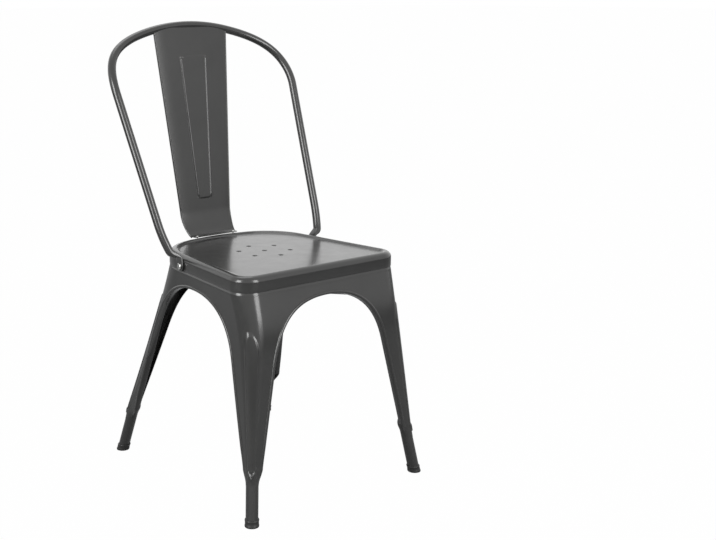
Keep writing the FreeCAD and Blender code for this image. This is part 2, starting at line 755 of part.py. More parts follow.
def make_brace(side_x, level, inside):
    """Flat bar from one front leg to the opposite rear leg, trimmed to the sheet."""
    start = brace_end(side_x, -1)
    end = brace_end(-side_x, 1)
    run = (end - start).normalize()
    across = V(-run.y, run.x, 0)
    corners = [
        start + across * (BRACE_WIDTH / 2),
        end + across * (BRACE_WIDTH / 2),
        end - across * (BRACE_WIDTH / 2),
        start - across * (BRACE_WIDTH / 2),
    ]
    lifted = [corner + V(0, 0, level) for corner in corners]
    bar = Part.Face(Part.makePolygon(lifted + lifted[:1])).extrude(V(0, 0, BRACE_THICK))
    hole = Part.makeCylinder(BRACE_RIVET_RADIUS, FAR, brace_crossing())
    return largest_solid(bar.common(inside).cut(hole))


def brace_crossing():
    """Plan point where the two braces cross."""
    start = brace_end(1, -1)
    end = brace_end(-1, 1)
    share = start.x / (start.x - end.x)
    return V(0, start.y + (end.y - start.y) * share, 0)


def make_brace_rivet():
    """Rivet that holds the braces where they cross."""
    centre = brace_crossing()
    low = BRACE_BOTTOM
    high = BRACE_BOTTOM + 2 * BRACE_THICK
    shank = Part.makeCylinder(BRACE_RIVET_RADIUS, high - low, V(centre.x, centre.y, low))
    lower_head = Part.makeCylinder(BRACE_HEAD_RADIUS, BRACE_HEAD_HEIGHT, V(centre.x, centre.y, low - BRACE_HEAD_HEIGHT))
    upper_head = Part.makeCylinder(BRACE_HEAD_RADIUS, BRACE_HEAD_HEIGHT, V(centre.x, centre.y, high))
    return shank.fuse([lower_head, upper_head])


def make_bumper(seat):
    """Round bumper on the back of the skirt with its stem through the sheet."""
    back_y = seat_back_y()
    stem_start = V(0, back_y - 2 * SHEET, BUMPER_Z)
    stem = Part.makeCylinder(BUMPER_STEM, 2 * SHEET, stem_start, V(0, 1, 0))
    button = Part.makeCylinder(BUMPER_RADIUS, BUMPER_STANDOUT, V(0, back_y, BUMPER_Z), V(0, 1, 0))
    rim = [edge for edge in button.Edges if edge.Closed and edge.CenterOfMass.y > back_y + 1]
    button = button.makeFillet(BUMPER_STANDOUT / 2, rim)
    return largest_solid(stem.fuse(button).cut(seat))


def seat_back_y():
    """Rearmost y of the rounded skirt."""
    return seat_wire(STEP_LEVEL, 0).BoundBox.YMax


def build_parts():
    """All pieces by file name."""
    parts = {}
    seat = make_seat()
    parts["seat_pan"] = seat
    ring = leg_ring()
    for side_x in (-1, 1):
        ring = ring.cut(bolt_bar(side_x, BOLT_RADIUS, RIM_WIDTH, RIM_WIDTH))
    stem_hole = Part.makeCylinder(BUMPER_STEM, FAR, V(0, 0, BUMPER_Z), V(0, 1, 0))
    ring = ring.cut(stem_hole)
    inside = leg_block(SHEET)
    ribs = leg_block(-RIB_RISE).cut(inside)
    for side_y, place in ((-1, "front"), (1, "rear")):
        for side_x, hand in ((-1, "left"), (1, "right")):
            name = place + "_" + hand
            parts["leg_" + name] = make_leg(ring, ribs, side_x, side_y)
            parts["foot_cap_" + name] = make_cap(side_x, side_y)
    hoop = make_hoop(seat)
    parts["back_hoop"] = hoop
    splat = make_splat(hoop, seat)
    parts["back_splat"] = splat
    parts["splat_rivets"] = make_splat_rivets(splat)
    for side_x, hand in ((-1, "left"), (1, "right")):
        parts["hoop_bolt_" + hand] = make_hoop_bolt(side_x)
        parts["hoop_nut_" + hand] = make_hoop_nut(side_x)
    parts["brace_lower"] = make_brace(1, BRACE_BOTTOM, inside)
    parts["brace_upper"] = make_brace(-1, BRACE_BOTTOM + BRACE_THICK, inside)
    parts["brace_rivet"] = make_brace_rivet()
    parts["stacking_bumper"] = make_bumper(seat)
    return parts


def centred(parts):
    """Shift all pieces so that the floor centre of the chair is the origin."""
    box = Part.makeCompound(list(parts.values())).optimalBoundingBox(False, False)
    shift = V(-(box.XMin + box.XMax) / 2, -(box.YMin + box.YMax) / 2, -box.ZMin)
    for shape in parts.values():
        shape.translate(shift)
    return shift


def export(parts):
    """Write one file per piece."""
    os.makedirs("parts", exist_ok=True)
    for name, shape in parts.items():
        shape.exportStep("parts/" + name + ".step")


chair = build_parts()
print("shift", centred(chair))
for part_name, part_shape in chair.items():
    box = part_shape.optimalBoundingBox(False, False)
    print(part_name, part_shape.isValid(), len(part_shape.Solids), round(part_shape.Volume),
          [round(value, 1) for value in (box.XMin, box.XMax, box.YMin, box.YMax, box.ZMin, box.ZMax)])
export(chair)
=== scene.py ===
import math
from collections import namedtuple

import bmesh
import bpy
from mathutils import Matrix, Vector


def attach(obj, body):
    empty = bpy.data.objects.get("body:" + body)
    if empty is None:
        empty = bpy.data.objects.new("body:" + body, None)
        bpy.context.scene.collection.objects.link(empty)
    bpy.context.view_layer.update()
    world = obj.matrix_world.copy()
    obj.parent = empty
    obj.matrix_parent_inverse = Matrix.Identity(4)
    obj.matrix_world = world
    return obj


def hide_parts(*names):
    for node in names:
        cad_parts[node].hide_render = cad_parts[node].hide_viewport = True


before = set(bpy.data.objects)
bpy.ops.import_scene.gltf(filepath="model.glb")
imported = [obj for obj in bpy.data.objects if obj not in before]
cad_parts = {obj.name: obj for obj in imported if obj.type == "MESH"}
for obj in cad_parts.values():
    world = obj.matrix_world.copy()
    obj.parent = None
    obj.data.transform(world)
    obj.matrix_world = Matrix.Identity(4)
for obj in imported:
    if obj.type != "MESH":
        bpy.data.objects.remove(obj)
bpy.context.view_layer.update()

MM = 0.001
UP = Vector((0, 0, 1))
ENDS = ((-1, "front"), (1, "rear"))
HANDS = ((-1, "left"), (1, "right"))
Plan = namedtuple("Plan", "front_half front_y front_radius rear_half rear_y rear_radius bow")
Arch = namedtuple("Arch", "apex spring_half notch_half spring_level")

# Levels in millimetres, in the frame where the chair was drawn
SHIFT_Y = -4.3586
SEAT_TOP = 432.0
STEP_LEVEL = 404.0
LIP_LEVEL = 399.0
SHOULDER_LEVEL = 330.0
NOTCH_LEVEL = 100.0

# Plan outlines of the leg sheets at notch and shoulder, and of the seat
NOTCH_PLAN = Plan(197.0, -217.5, 13.5, 183.5, 208.5, 13.5, 3.0)
SHOULDER_PLAN = Plan(184.0, -198.0, 32.0, 151.5, 162.0, 79.0, 12.0)
SEAT_PLAN = Plan(189.5, -181.0, 36.0, 146.5, 142.0, 110.0, 27.0)
BACK_RADIUS = 300.0
SHOULDER_SOFTNESS = 36.0

# Folded sheet and its arches
SHEET = 2.0
LIP_INSET = 1.4
SIDE_SEAM_Y = -9.0
FRONT_ARCH = Arch(378.0, 131.0, 170.5, 274.0)
REAR_ARCH = Arch(350.0, 105.0, 157.0, 262.0)
SIDE_ARCH = Arch(376.0, 136.0, 184.0, 274.0)
ARCH_FULLNESS = 0.62
STRAIGHT_SHARE = 0.45
CORNER_APEX_LEVEL = 388.0
ARCH_MIDDLE_LEVEL = 200.0
TUCK_LEVELS = (400.0, 401.5, 403.0, STEP_LEVEL, 410.0)
FACE_STEPS = 10
CORNER_STEPS = 36
ARCH_STEPS = 64
SEAM_STEPS = 4

# Bead and turned-in flange: pairs across towards the opening and into the sheet
FLANGE_DEPTH = 11.0
FLANGE_RUN_OUT = 9
BEAD_WIDTH = 5.6
BEAD_RISE = 1.9
BEAD_TAIL = ((-BEAD_WIDTH - 0.6, 0.5), (-BEAD_WIDTH, 0.1))
FLANGE_OUTSIDE = ((-0.2, 0.7), (0.0, 1.6), (0.1, FLANGE_DEPTH - 0.6), (-0.6, FLANGE_DEPTH))
FLANGE_INSIDE = ((-1.6, FLANGE_DEPTH - 0.4), (-1.7, 1.8))
BEAD_STEPS = 10
EDGE_STEPS = 90
PROBE = 1.0

# Corner rib
RIB_RISE = 1.8
RIB_HALF = 13.5
RIB_BOTTOM = 116.0
RIB_SHOULDER = 306.0
RIB_TIP = 336.0
RIB_EDGE = 2.2
RIB_FOOT_SHARE = 0.6
RIB_TIP_FULLNESS = 1.6

# Lower leg: tube, boot and the hollow that lets the boot into the folded sheet
FRONT_FOOT = (199.5, -223.0)
REAR_FOOT = (185.0, 225.0)
TUBE_RADIUS = 11.2
TUBE_LEVELS = (7.0, 20.0, 40.0, 60.0, 74.0)
TUBE_SEGMENTS = 96
BOOT_RADIUS = 13.3
BOOT_ROWS_START = 78.0
BOOT_BOTTOM = 80.0
BOOT_SWELL_RUN = 20.0
BOOT_NECK_LEVEL = 102.0
BOOT_NECK_RUN = 10.0
BOOT_NECK_DROP = 1.2
BOOT_SET_BACK = 0.7
BOOT_TOP = 128.0
SCOOP_START = 88.0
SCOOP_DEPTH = 0.8
SCOOP_EDGE = 0.3
SCOOP_BLEND = 0.6

# Foot of the sheet where it wraps the tube, with a pressed V
WRAP_LEVEL = 70.0
WRAP_STEPS = 40
WRAP_STANDOFF = 0.3
MARK_TIP = 84.0
MARK_MARGIN = 2.0
MARK_HEIGHT = 15.0
MARK_SPREAD = 0.42
MARK_SOFTNESS = 1.5
MARK_FADE_START = 9.0
MARK_FADE_RUN = 5.0
MARK_RISE = 1.7
MARK_HOLLOW = 0.7

# Foot caps: how far inside the cap's radius its outside lies at each level
CAP_RADIUS = 12.9
CAP_HEIGHT = 13.0
CAP_OUTSIDE = (
    (1.2, 0.0), (0.4, 0.3), (0.0, 1.2), (0.1, 3.5), (0.5, 5.0),
    (0.5, 9.5), (0.1, 10.6), (0.05, 12.0), (0.4, 12.8), (1.0, CAP_HEIGHT),
)
CAP_FIT = 0.05
CAP_INSIDE_LEVEL = 8.0
CAP_SEGMENTS = 72

# Seat pan: hem as inset and height above the step, underside as inset and drop
RIM_WIDTH = 12.0
RIM_ROLL_DROP = 11.0
RIM_STEPS = 14
DISH_SLOPE = 9.0
DISH_DEPTH = 4.0
DISH_FLAT = 3.0
DISH_STEPS = 10
HEM_RISE = 0.2
HEM_PROFILE = ((SHEET, HEM_RISE), (0.8, 0.0), (0.2, 0.3), (0.0, 1.0), (0.0, 6.0), (0.0, 11.0))
SKIRT_INSIDE_TOP = 418.0
UNDERSIDE_CORNER = ((2.0, 1.0), (6.0, 0.0))
SEAT_ARC_STEPS = 28

# Drain holes: lip as distance outside the hole and height
HOLE_RADIUS = 4.25
HOLE_RING_RADIUS = 49.4
HOLE_COUNT = 6
HOLE_CENTRE_Y = -6.0
HOLE_FIRST_ANGLE = 30.0
HOLE_LIP = ((2.6, 0.0), (1.6, 0.0), (0.9, -0.05), (0.35, -0.35), (0.0, -1.0), (0.0, -SHEET))
HOLE_SEGMENTS = 28

# Back hoop
HOOP_TUBE_RADIUS = 7.75
HOOP_NECK = (179.5, 49.5, 441.0)
HOOP_FLARE = (189.5, 71.5, 490.0)
HOOP_SHOULDER = (210.5, 167.0, 720.0)
HOOP_BEND = (195.5, 204.0, 782.0)
HOOP_BOW = (110.0, 233.0, 827.5)
HOOP_APEX = (0.0, 237.0, 842.25)
HOOP_SEGMENTS = 32
NECK_STEPS = 8
SIDE_STEPS = 24
BOW_STEPS = 28

# Flattened hoop ends; squareness is 2 for a round section and more for a square one
BOLT_Y = 38.0
BOLT_Z = 412.5
PADDLE_HALF = 10.0
PADDLE_THICK = 4.0
PADDLE_LENGTH = 13.0
PADDLE_LEAN = 22.0
PADDLE_TIP_HALF = 0.05
PADDLE_SQUARENESS = 6.0
ROUND_SQUARENESS = 2.0
PADDLE_END_STEPS = 9
PADDLE_STEPS = 3

# Back splat
SPLAT_SHEET = 1.6
SPLAT_TOP_Y = 231.0
SPLAT_TOP_Z = 838.0
SPLAT_KNEE_Y = 185.0
SPLAT_KNEE_Z = 480.0
SPLAT_FOOT_Y = 149.5
SPLAT_REST = 7.0
SPLAT_HEEL_PULL = 9.0
SPLAT_KNEE_PULL = 24.0
SPLAT_TOP_HALF = 85.0
SPLAT_KNEE_HALF = 58.5
SPLAT_FOOT_HALF = 51.5

# Curled and rolled long edges of the splat
SPLAT_CURL_WIDTH = 24.0
SPLAT_CURL_DEPTH = 1.0
SPLAT_CURL_START = 6.0
SPLAT_CURL_RUN = 40.0
SPLAT_ROLL_RADIUS = 2.6
SPLAT_ROLL_OUTSET = 0.4
SPLAT_ROLL_DROP = 0.2
SPLAT_ROLL_TOE_DROP = 0.5
SPLAT_ROLL_FIRST = 4
ROLL_SEGMENTS = 20

# Raised panel of the splat
PANEL_RISE = 1.2
PANEL_RIDGE = 1.1
PANEL_RIDGE_HALF = 1.7
PANEL_WALL = 2.2
PANEL_TOP_Z = 784.0
PANEL_TOP_HALF = 31.0
PANEL_BOTTOM_Z = 503.0
PANEL_BOTTOM_HALF = 16.5
PANEL_CORNER = 8.0
PANEL_OVERRUN = 0.15

# Spacing of the splat's rows and columns, finer at the panel's edges
SPLAT_BEND_STEPS = 22
FINE_ZONE = 14.0
FINE_STEP = 0.8
COARSE_STEP = 5.0
SHORTEST_STEP = 0.1
PANEL_PARTS = 5
PANEL_WALL_PARTS = 6
PLAIN_PARTS = 4
CURL_PARTS = 12
INSIDE_PANEL = (5.0, 3.4)
OUTSIDE_PANEL = (1.0, 2.0, 3.0)

# Largest angle in degrees that is shaded smooth, and the distance in metres that welds
SHEET_SMOOTHING = 40.0
TURNED_SMOOTHING = 50.0
BENT_SMOOTHING = 60.0
SOLID_SMOOTHING = 35.0
WELD_DISTANCE = 0.00001

# Materials: used part of a noise's range, and how detailed and strong it is
NOISE_LOW = 0.3
NOISE_HIGH = 0.7
TONE_DETAIL = 4.0
ROUGH_DETAIL = 3.0
ROUGH_SCALE = 4.0
GRAIN_DETAIL = 2.0
GRAIN_STRENGTH = 0.35

# Surroundings, in metres
WHITE = (1, 1, 1, 1)
FLOOR_SIZE = 60.0
FLOOR_COLOUR = (0.42, 0.42, 0.42, 1)
FLOOR_ROUGHNESS = 0.9
FLOOR_GLOW = 0.99
FILL_COLOUR = (0.75, 0.76, 0.78, 1)
FILL_STRENGTH = 0.4

# Lights: name, azimuth, elevation, distance, width, height and power
LIGHT_AIM = Vector((0, 0, 0.45))
LIGHTS = (
    ("left_box", -85.0, 22.0, 2.6, 1.1, 1.7, 50.0),
    ("right_box", 9.0, 22.0, 2.6, 1.1, 1.7, 40.0),
    ("top", 160.0, 68.0, 2.8, 1.6, 1.6, 12.0),
)

# Camera, from the fit to the photograph, in degrees, metres and pixels
AZIMUTH = -38.22
ELEVATION = 13.36
DISTANCE = 2.26893
SIDE_OFFSET = -0.00114
AIM_HEIGHT = 0.38282
FOCAL_PIXELS = 1186.22
CENTRE_PIXEL = (262.0, 273.0)
IMAGE_SIZE = (716.0, 540.0)
SENSOR = 36.0


def place(x, y, z):
    """Point in metres in the shared frame from millimetres in the drawing frame."""
    return Vector((x * MM, (y + SHIFT_Y) * MM, z * MM))


def lerp(a, b, share):
    """Value between a and b."""
    return a + (b - a) * share


def soft(value):
    """Soft ramp from 0 to 1."""
    held = min(1.0, max(0.0, value))
    return held * held * (3 - 2 * held)


def direction(points, index):
    """Direction of a line of points at one of them."""
    before = points[max(0, index - 1)]
    after = points[min(len(points) - 1, index + 1)]
    return (after - before).normalized()


def new_object(name, builder, material, smoothing):
    """Object from a filled builder, smooth except at sharp edges, riding on the chair."""
    bmesh.ops.remove_doubles(builder, verts=builder.verts, dist=WELD_DISTANCE)
    bmesh.ops.recalc_face_normals(builder, faces=builder.faces)
    mesh = bpy.data.meshes.new(name)
    builder.to_mesh(mesh)
    builder.free()
    mesh.shade_smooth()
    mesh.set_sharp_from_angle(angle=math.radians(smoothing))
    mark_open_edges(mesh)
    mesh.materials.append(material)
    obj = bpy.data.objects.new(name, mesh)
    bpy.context.scene.collection.objects.link(obj)
    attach(obj, "root")
    return obj


def thicken(obj, thickness):
    """Give a modelled face its sheet thickness on the inner side."""
    solid = obj.modifiers.new("sheet", "SOLIDIFY")
    solid.thickness = thickness * MM
    solid.offset = -1.0


def mark_open_edges(mesh):
    """Keep the free edges of a sheet crisp when it gets its thickness."""
    uses = {}
    for polygon in mesh.polygons:
        for key in polygon.edge_keys:
            uses[key] = uses.get(key, 0) + 1
    for edge in mesh.edges:
        if uses.get(tuple(sorted(edge.vertices)), 0) == 1:
            edge.use_edge_sharp = True


def add_grid(builder, rows, closed=False):
    """Quads between rows of points; closed joins each row's end to its start."""
    made = [[builder.verts.new(point) for point in row] for row in rows]
    for low, high in zip(made, made[1:]):
        count = len(low)
        last = count if closed else count - 1
        for index in range(last):
            following = (index + 1) % count
            builder.faces.new((low[index], low[following], high[following], high[index]))
    return made


def add_cap(builder, ring):
    """Face over one closed row."""
    builder.faces.new(ring)


def bent(distance, reach):
    """Zero before a bend, the distance after it, and a soft turn within its reach."""
    if abs(distance) >= reach:
        return max(0.0, distance)
    return (distance + reach) ** 2 / (4 * reach)


def plan_at(level):
    """Plan outline of the leg sheets at a level, with a soft bend at the shoulder."""
    held = min(level, LIP_LEVEL)
    beyond = bent(held - SHOULDER_LEVEL, SHOULDER_SOFTNESS)
    below = SHOULDER_LEVEL - NOTCH_LEVEL
    above = LIP_LEVEL - SHOULDER_LEVEL
    outline = []
    for notch, shoulder, seat in zip(NOTCH_PLAN, SHOULDER_PLAN, SEAT_PLAN):
        low_slope = (shoulder - notch) / below
        high_slope = (seat - shoulder) / above
        outline.append(notch + low_slope * (held - NOTCH_LEVEL) + (high_slope - low_slope) * beyond)
    return Plan(*outline)


def inset_at(level):
    """How far the sheet draws in just below the seat skirt."""
    return LIP_INSET * soft((level - LIP_LEVEL) / (STEP_LEVEL - LIP_LEVEL))


def corner_frame(level, side_y):
    """Corner, its two side directions and its radius for a leg at a level, for x above 0."""
    plan = plan_at(level)
    front = Vector((plan.front_half, plan.front_y, 0))
    rear = Vector((plan.rear_half, plan.rear_y, 0))
    if side_y < 0:
        return front, Vector((-1, 0, 0)), (rear - front).normalized(), plan.front_radius
    centre = Vector((0, plan.rear_y + plan.bow, 0))
    return rear, (centre - rear).normalized(), (front - rear).normalized(), plan.rear_radius


def rounding(corner, before, after, radius, steps):
    """Centre of a rounded corner, the spokes round it and the angle they turn through."""
    half_angle = before.angle(after) / 2
    reach = radius / math.tan(half_angle)
    centre = corner + (before + after).normalized() * (radius / math.sin(half_angle))
    start = corner + before * reach - centre
    end = corner + after * reach - centre
    turn = start.angle(end)
    spokes = []
    for step in range(steps + 1):
        share = step / steps
        spokes.append((start * math.sin((1 - share) * turn) + end * math.sin(share * turn)) / math.sin(turn))
    return centre, spokes, turn


def back_y(x, level):
    """Depth of the rear face at a distance x from the middle."""
    plan = plan_at(level)
    middle_y = plan.rear_y + plan.bow
    slope = plan.bow / plan.rear_half
    angle = math.atan(slope)
    if abs(x) >= BACK_RADIUS * math.sin(angle):
        return middle_y - abs(x) * slope
    return middle_y - BACK_RADIUS / math.cos(angle) + math.sqrt(BACK_RADIUS ** 2 - x * x)


def across_face(x, level, side_y):
    """Point of the front or rear face, for x above 0."""
    inset = inset_at(level)
    if side_y < 0:
        return Vector((x, plan_at(level).front_y + inset, level))
    return Vector((x, back_y(x, level) - inset, level))


def side_face(y, level):
    """Point of the side face, for x above 0."""
    plan = plan_at(level)
    share = (y - plan.front_y) / (plan.rear_y - plan.front_y)
    return Vector((lerp(plan.front_half, plan.rear_half, share) - inset_at(level), y, level))


def cross_arch(side_y):
    """Arch in the front or rear face of a leg."""
    return FRONT_ARCH if side_y < 0 else REAR_ARCH


def arch_point(arch, share):
    """Half width and level on an arch, from the notch at 0 to the apex at 1."""
    if share < STRAIGHT_SHARE:
        part = share / STRAIGHT_SHARE
        half = lerp(arch.notch_half, arch.spring_half, part)
        return half, lerp(NOTCH_LEVEL, arch.spring_level, part)
    part = (share - STRAIGHT_SHARE) / (1 - STRAIGHT_SHARE)
    rise = (arch.apex - arch.spring_level) * ARCH_FULLNESS
    slope = (arch.notch_half - arch.spring_half) / (arch.spring_level - NOTCH_LEVEL)
    poles = [
        (arch.spring_half, arch.spring_level),
        (arch.spring_half - slope * rise, arch.spring_level + rise),
        (arch.spring_half * ARCH_FULLNESS, arch.apex),
        (0.0, arch.apex),
    ]
    weights = cubic_weights(part)
    half = sum(weight * pole[0] for weight, pole in zip(weights, poles))
    level = sum(weight * pole[1] for weight, pole in zip(weights, poles))
    return half, level


def rib_height(distance, level):
    """Rise of the corner rib at a distance from the corner line."""
    if level > RIB_TIP:
        return 0.0
    if level > RIB_SHOULDER:
        share = (level - RIB_SHOULDER) / (RIB_TIP - RIB_SHOULDER)
        half = RIB_HALF * math.sqrt(max(0.0, 1 - share ** RIB_TIP_FULLNESS))
    else:
        share = (level - RIB_BOTTOM) / (RIB_SHOULDER - RIB_BOTTOM)
        half = RIB_HALF * lerp(RIB_FOOT_SHARE, 1.0, share)
    return RIB_RISE * soft((half - abs(distance)) / RIB_EDGE)


def corner_row(level, side_y):
    """Points round the corner of a leg from the front or rear face to the side face."""
    corner, across, along, radius = corner_frame(level, side_y)
    centre, spokes, turn = rounding(corner, across, along, radius, CORNER_STEPS)
    inset = inset_at(level)
    row = []
    for step, spoke in enumerate(spokes):
        distance = (step / CORNER_STEPS - 0.5) * turn * radius
        point = centre + spoke * (1 + (rib_height(distance, level) - inset) / radius)
        row.append(Vector((point.x, point.y, level)))
    return row


def edge_levels(share, arch):
    """Half width and level of the sheet's free edge: up the arch, then up the seam."""
    if share <= 1:
        return arch_point(arch, share)
    return 0.0, lerp(arch.apex, LIP_LEVEL, share - 1)


def leg_row(share, side_y):
    """One row of the leg sheet, from the front or rear edge round to the side edge."""
    arch = cross_arch(side_y)
    cross_edge = edge_levels(share, arch)
    side_edge = edge_levels(share, SIDE_ARCH)
    if share <= STRAIGHT_SHARE:
        corner_level = (cross_edge[1] + side_edge[1]) / 2
    elif share <= 1:
        spring = (arch.spring_level + SIDE_ARCH.spring_level) / 2
        corner_level = lerp(spring, CORNER_APEX_LEVEL, (share - STRAIGHT_SHARE) / (1 - STRAIGHT_SHARE))
    else:
        corner_level = lerp(CORNER_APEX_LEVEL, LIP_LEVEL, share - 1)
    return face_row(cross_edge, side_edge, corner_level, side_y)


def face_row(cross_edge, side_edge, corner_level, side_y):
    """Points from a front or rear edge to the corner, round it and on to the side edge."""
    cross_half, cross_level = cross_edge
    side_half, side_level = side_edge
    arc = corner_row(corner_level, side_y)
    row = []
    for step in range(FACE_STEPS):
        part = step / FACE_STEPS
        level = lerp(cross_level, corner_level, part)
        row.append(across_face(lerp(cross_half, arc[0].x, part), level, side_y))
    row += arc
    edge_y = SIDE_SEAM_Y + side_y * side_half
    for step in range(1, FACE_STEPS + 1):
        part = step / FACE_STEPS
        level = lerp(corner_level, side_level, part)
        row.append(side_face(lerp(arc[-1].y, edge_y, part), level))
    return row


def wrap_rows(side_y):
    """Rows that close the sheet's foot down onto the round tube, with the pressed V."""
    foot_row = leg_row(0.0, side_y)
    notch, outward = axis_centre(NOTCH_LEVEL, side_y)
    rows = []
    for step in range(WRAP_STEPS):
        share = step / WRAP_STEPS
        level = lerp(WRAP_LEVEL, NOTCH_LEVEL, share)
        centre = axis_centre(level, side_y)[0]
        row = []
        for point in foot_row:
            spoke = point - notch
            turn = math.atan2(outward.cross(spoke).z, outward.dot(spoke))
            length = lerp(TUBE_RADIUS + WRAP_STANDOFF, spoke.length, soft(share))
            length += notch_mark(turn, level)
            row.append(centre + spoke.normalized() * length)
        rows.append(row)
    return rows


def mirrored(points, side_x):
    """Points moved to the leg's own side and scaled to metres."""
    return [place(point.x * side_x, point.y, point.z) for point in points]


def build_leg_sheet(side_x, side_y, name, material):
    """Folded sheet of one leg with its corner rib, from the tube up behind the seat skirt."""
    builder = bmesh.new()
    rows = wrap_rows(side_y)
    for step in range(ARCH_STEPS):
        rows.append(leg_row(step / ARCH_STEPS, side_y))
    for step in range(SEAM_STEPS + 1):
        rows.append(leg_row(1 + step / SEAM_STEPS, side_y))
    for level in TUCK_LEVELS:
        rows.append(face_row((0.0, level), (0.0, level), level, side_y))
    add_grid(builder, [mirrored(row, side_x) for row in rows])
    obj = new_object(name, builder, material, SHEET_SMOOTHING)
    thicken(obj, SHEET)
    return obj


def arch_edge(arch, share, side_y, on_side):
    """Point on an arch edge and the inward normal of its face, before mirroring."""
    half, level = arch_point(arch, share)
    if on_side:
        y = SIDE_SEAM_Y + side_y * half
        point = side_face(y, level)
        beside = side_face(y + PROBE, level)
        above = side_face(y, level + PROBE)
    else:
        point = across_face(half, level, side_y)
        beside = across_face(half + PROBE, level, side_y)
        above = across_face(half, level + PROBE, side_y)
    normal = (beside - point).cross(above - point).normalized()
    towards_middle = Vector((0, 0, level)) - point
    if normal.dot(towards_middle) < 0:
        normal.negate()
    return point, normal


def bead_profile():
    """Offsets across an arch edge: towards the opening and into the sheet."""
    profile = list(BEAD_TAIL)
    for step in range(1, BEAD_STEPS):
        angle = math.pi * step / BEAD_STEPS
        across = -BEAD_WIDTH / 2 * (1 + math.cos(angle))
        profile.append((across, -BEAD_RISE * math.sin(angle)))
    profile += FLANGE_OUTSIDE
    profile += FLANGE_INSIDE
    return profile


def build_bead(arch, side_x, side_y, on_side, name, material):
    """Rolled bead and turned-in flange along one half of an arch."""
    builder = bmesh.new()
    edge = [arch_edge(arch, step / EDGE_STEPS, side_y, on_side) for step in range(EDGE_STEPS + 1)]
    points = [pair[0] for pair in edge]
    rows = []
    for index, (point, normal) in enumerate(edge):
        towards = direction(points, index).cross(normal).normalized()
        middle = Vector((0, point.y, ARCH_MIDDLE_LEVEL))
        if on_side:
            middle = Vector((point.x, SIDE_SEAM_Y, ARCH_MIDDLE_LEVEL))
        if towards.dot(middle - point) < 0:
            towards.negate()
        fade = soft(index / FLANGE_RUN_OUT)
        row = []
        for across, deep in bead_profile():
            lifted = deep * (fade if deep < 0 else 1.0)
            row.append(point + towards * across + normal * lifted)
        rows.append(mirrored(row, side_x))
    add_grid(builder, rows)
    return new_object(name, builder, material, BENT_SMOOTHING)


def axis_centre(level, side_y):
    """Centre of the lower leg tube at a level, and the direction out of the chair there."""
    corner, across, along, radius = corner_frame(NOTCH_LEVEL, side_y)
    half_angle = across.angle(along) / 2
    bisector = (across + along).normalized()
    top = corner + bisector * ((radius / math.sin(half_angle)) + (TUBE_RADIUS - radius))
    foot_x, foot_y = FRONT_FOOT if side_y < 0 else REAR_FOOT
    foot = Vector((foot_x, foot_y, 0))
    centre = foot.lerp(Vector((top.x, top.y, 0)), level / NOTCH_LEVEL)
    return Vector((centre.x, centre.y, level)), -bisector


def boot_radius(level):
    """Radius of tube and boot at a level."""
    swell = soft((level - BOOT_BOTTOM) / BOOT_SWELL_RUN)
    shrink = soft((level - BOOT_NECK_LEVEL) / BOOT_NECK_RUN) * BOOT_NECK_DROP
    return lerp(TUBE_RADIUS, BOOT_RADIUS, swell) - shrink


def notch_mark(angle, level):
    """Pressed V at the end of the corner rib: a ridge with a hollow inside it."""
    height = level - MARK_TIP
    if height < -MARK_MARGIN or height > MARK_HEIGHT:
        return 0.0
    aside = abs(angle * BOOT_RADIUS)
    arm = height * MARK_SPREAD
    fade = 1 - soft((height - MARK_FADE_START) / MARK_FADE_RUN)
    ridge = MARK_RISE * math.exp(-((aside - arm) / MARK_SOFTNESS) ** 2)
    hollow = MARK_HOLLOW * soft((arm - aside) / MARK_SOFTNESS)
    return (ridge - hollow) * fade


def build_lower_leg(side_x, side_y, name, material):
    """Round lower tube and the boot that joins it to the folded sheet."""
    builder = bmesh.new()
    boot_steps = int(BOOT_TOP - BOOT_ROWS_START)
    levels = list(TUBE_LEVELS) + [BOOT_ROWS_START + step for step in range(boot_steps + 1)]
    rows = []
    for level in levels:
        centre, outward = axis_centre(level, side_y)
        radius = boot_radius(level)
        centre = centre - outward * (radius - TUBE_RADIUS) * BOOT_SET_BACK
        start = math.atan2(outward.y, outward.x)
        scoop = SCOOP_DEPTH * soft((level - SCOOP_START) / (BOOT_TOP - SCOOP_START))
        row = []
        for step in range(TUBE_SEGMENTS):
            angle = (step / TUBE_SEGMENTS - 0.5) * 2 * math.pi
            spoke = Vector((math.cos(start + angle), math.sin(start + angle), 0))
            inner_share = soft((SCOOP_EDGE - math.cos(angle)) / SCOOP_BLEND)
            row.append(centre + spoke * (radius * (1 - scoop * inner_share)))
        rows.append(mirrored(row, side_x))
    made = add_grid(builder, rows, closed=True)
    add_cap(builder, made[0])
    add_cap(builder, made[-1])
    return new_object(name, builder, material, TURNED_SMOOTHING)


def build_foot_cap(side_x, side_y, name, material):
    """Moulded foot cap with a rounded rim and a shallow waist."""
    builder = bmesh.new()
    bore = TUBE_RADIUS + CAP_FIT
    profile = [(CAP_RADIUS - inset, level) for inset, level in CAP_OUTSIDE]
    profile += [(bore, CAP_HEIGHT), (bore, CAP_INSIDE_LEVEL)]
    rows = []
    for radius, level in profile:
        centre = axis_centre(level, side_y)[0]
        row = []
        for step in range(CAP_SEGMENTS):
            angle = step / CAP_SEGMENTS * 2 * math.pi
            row.append(centre + Vector((math.cos(angle), math.sin(angle), 0)) * radius)
        rows.append(mirrored(row, side_x))
    made = add_grid(builder, rows, closed=True)
    add_cap(builder, made[0])
    return new_object(name, builder, material, TURNED_SMOOTHING)


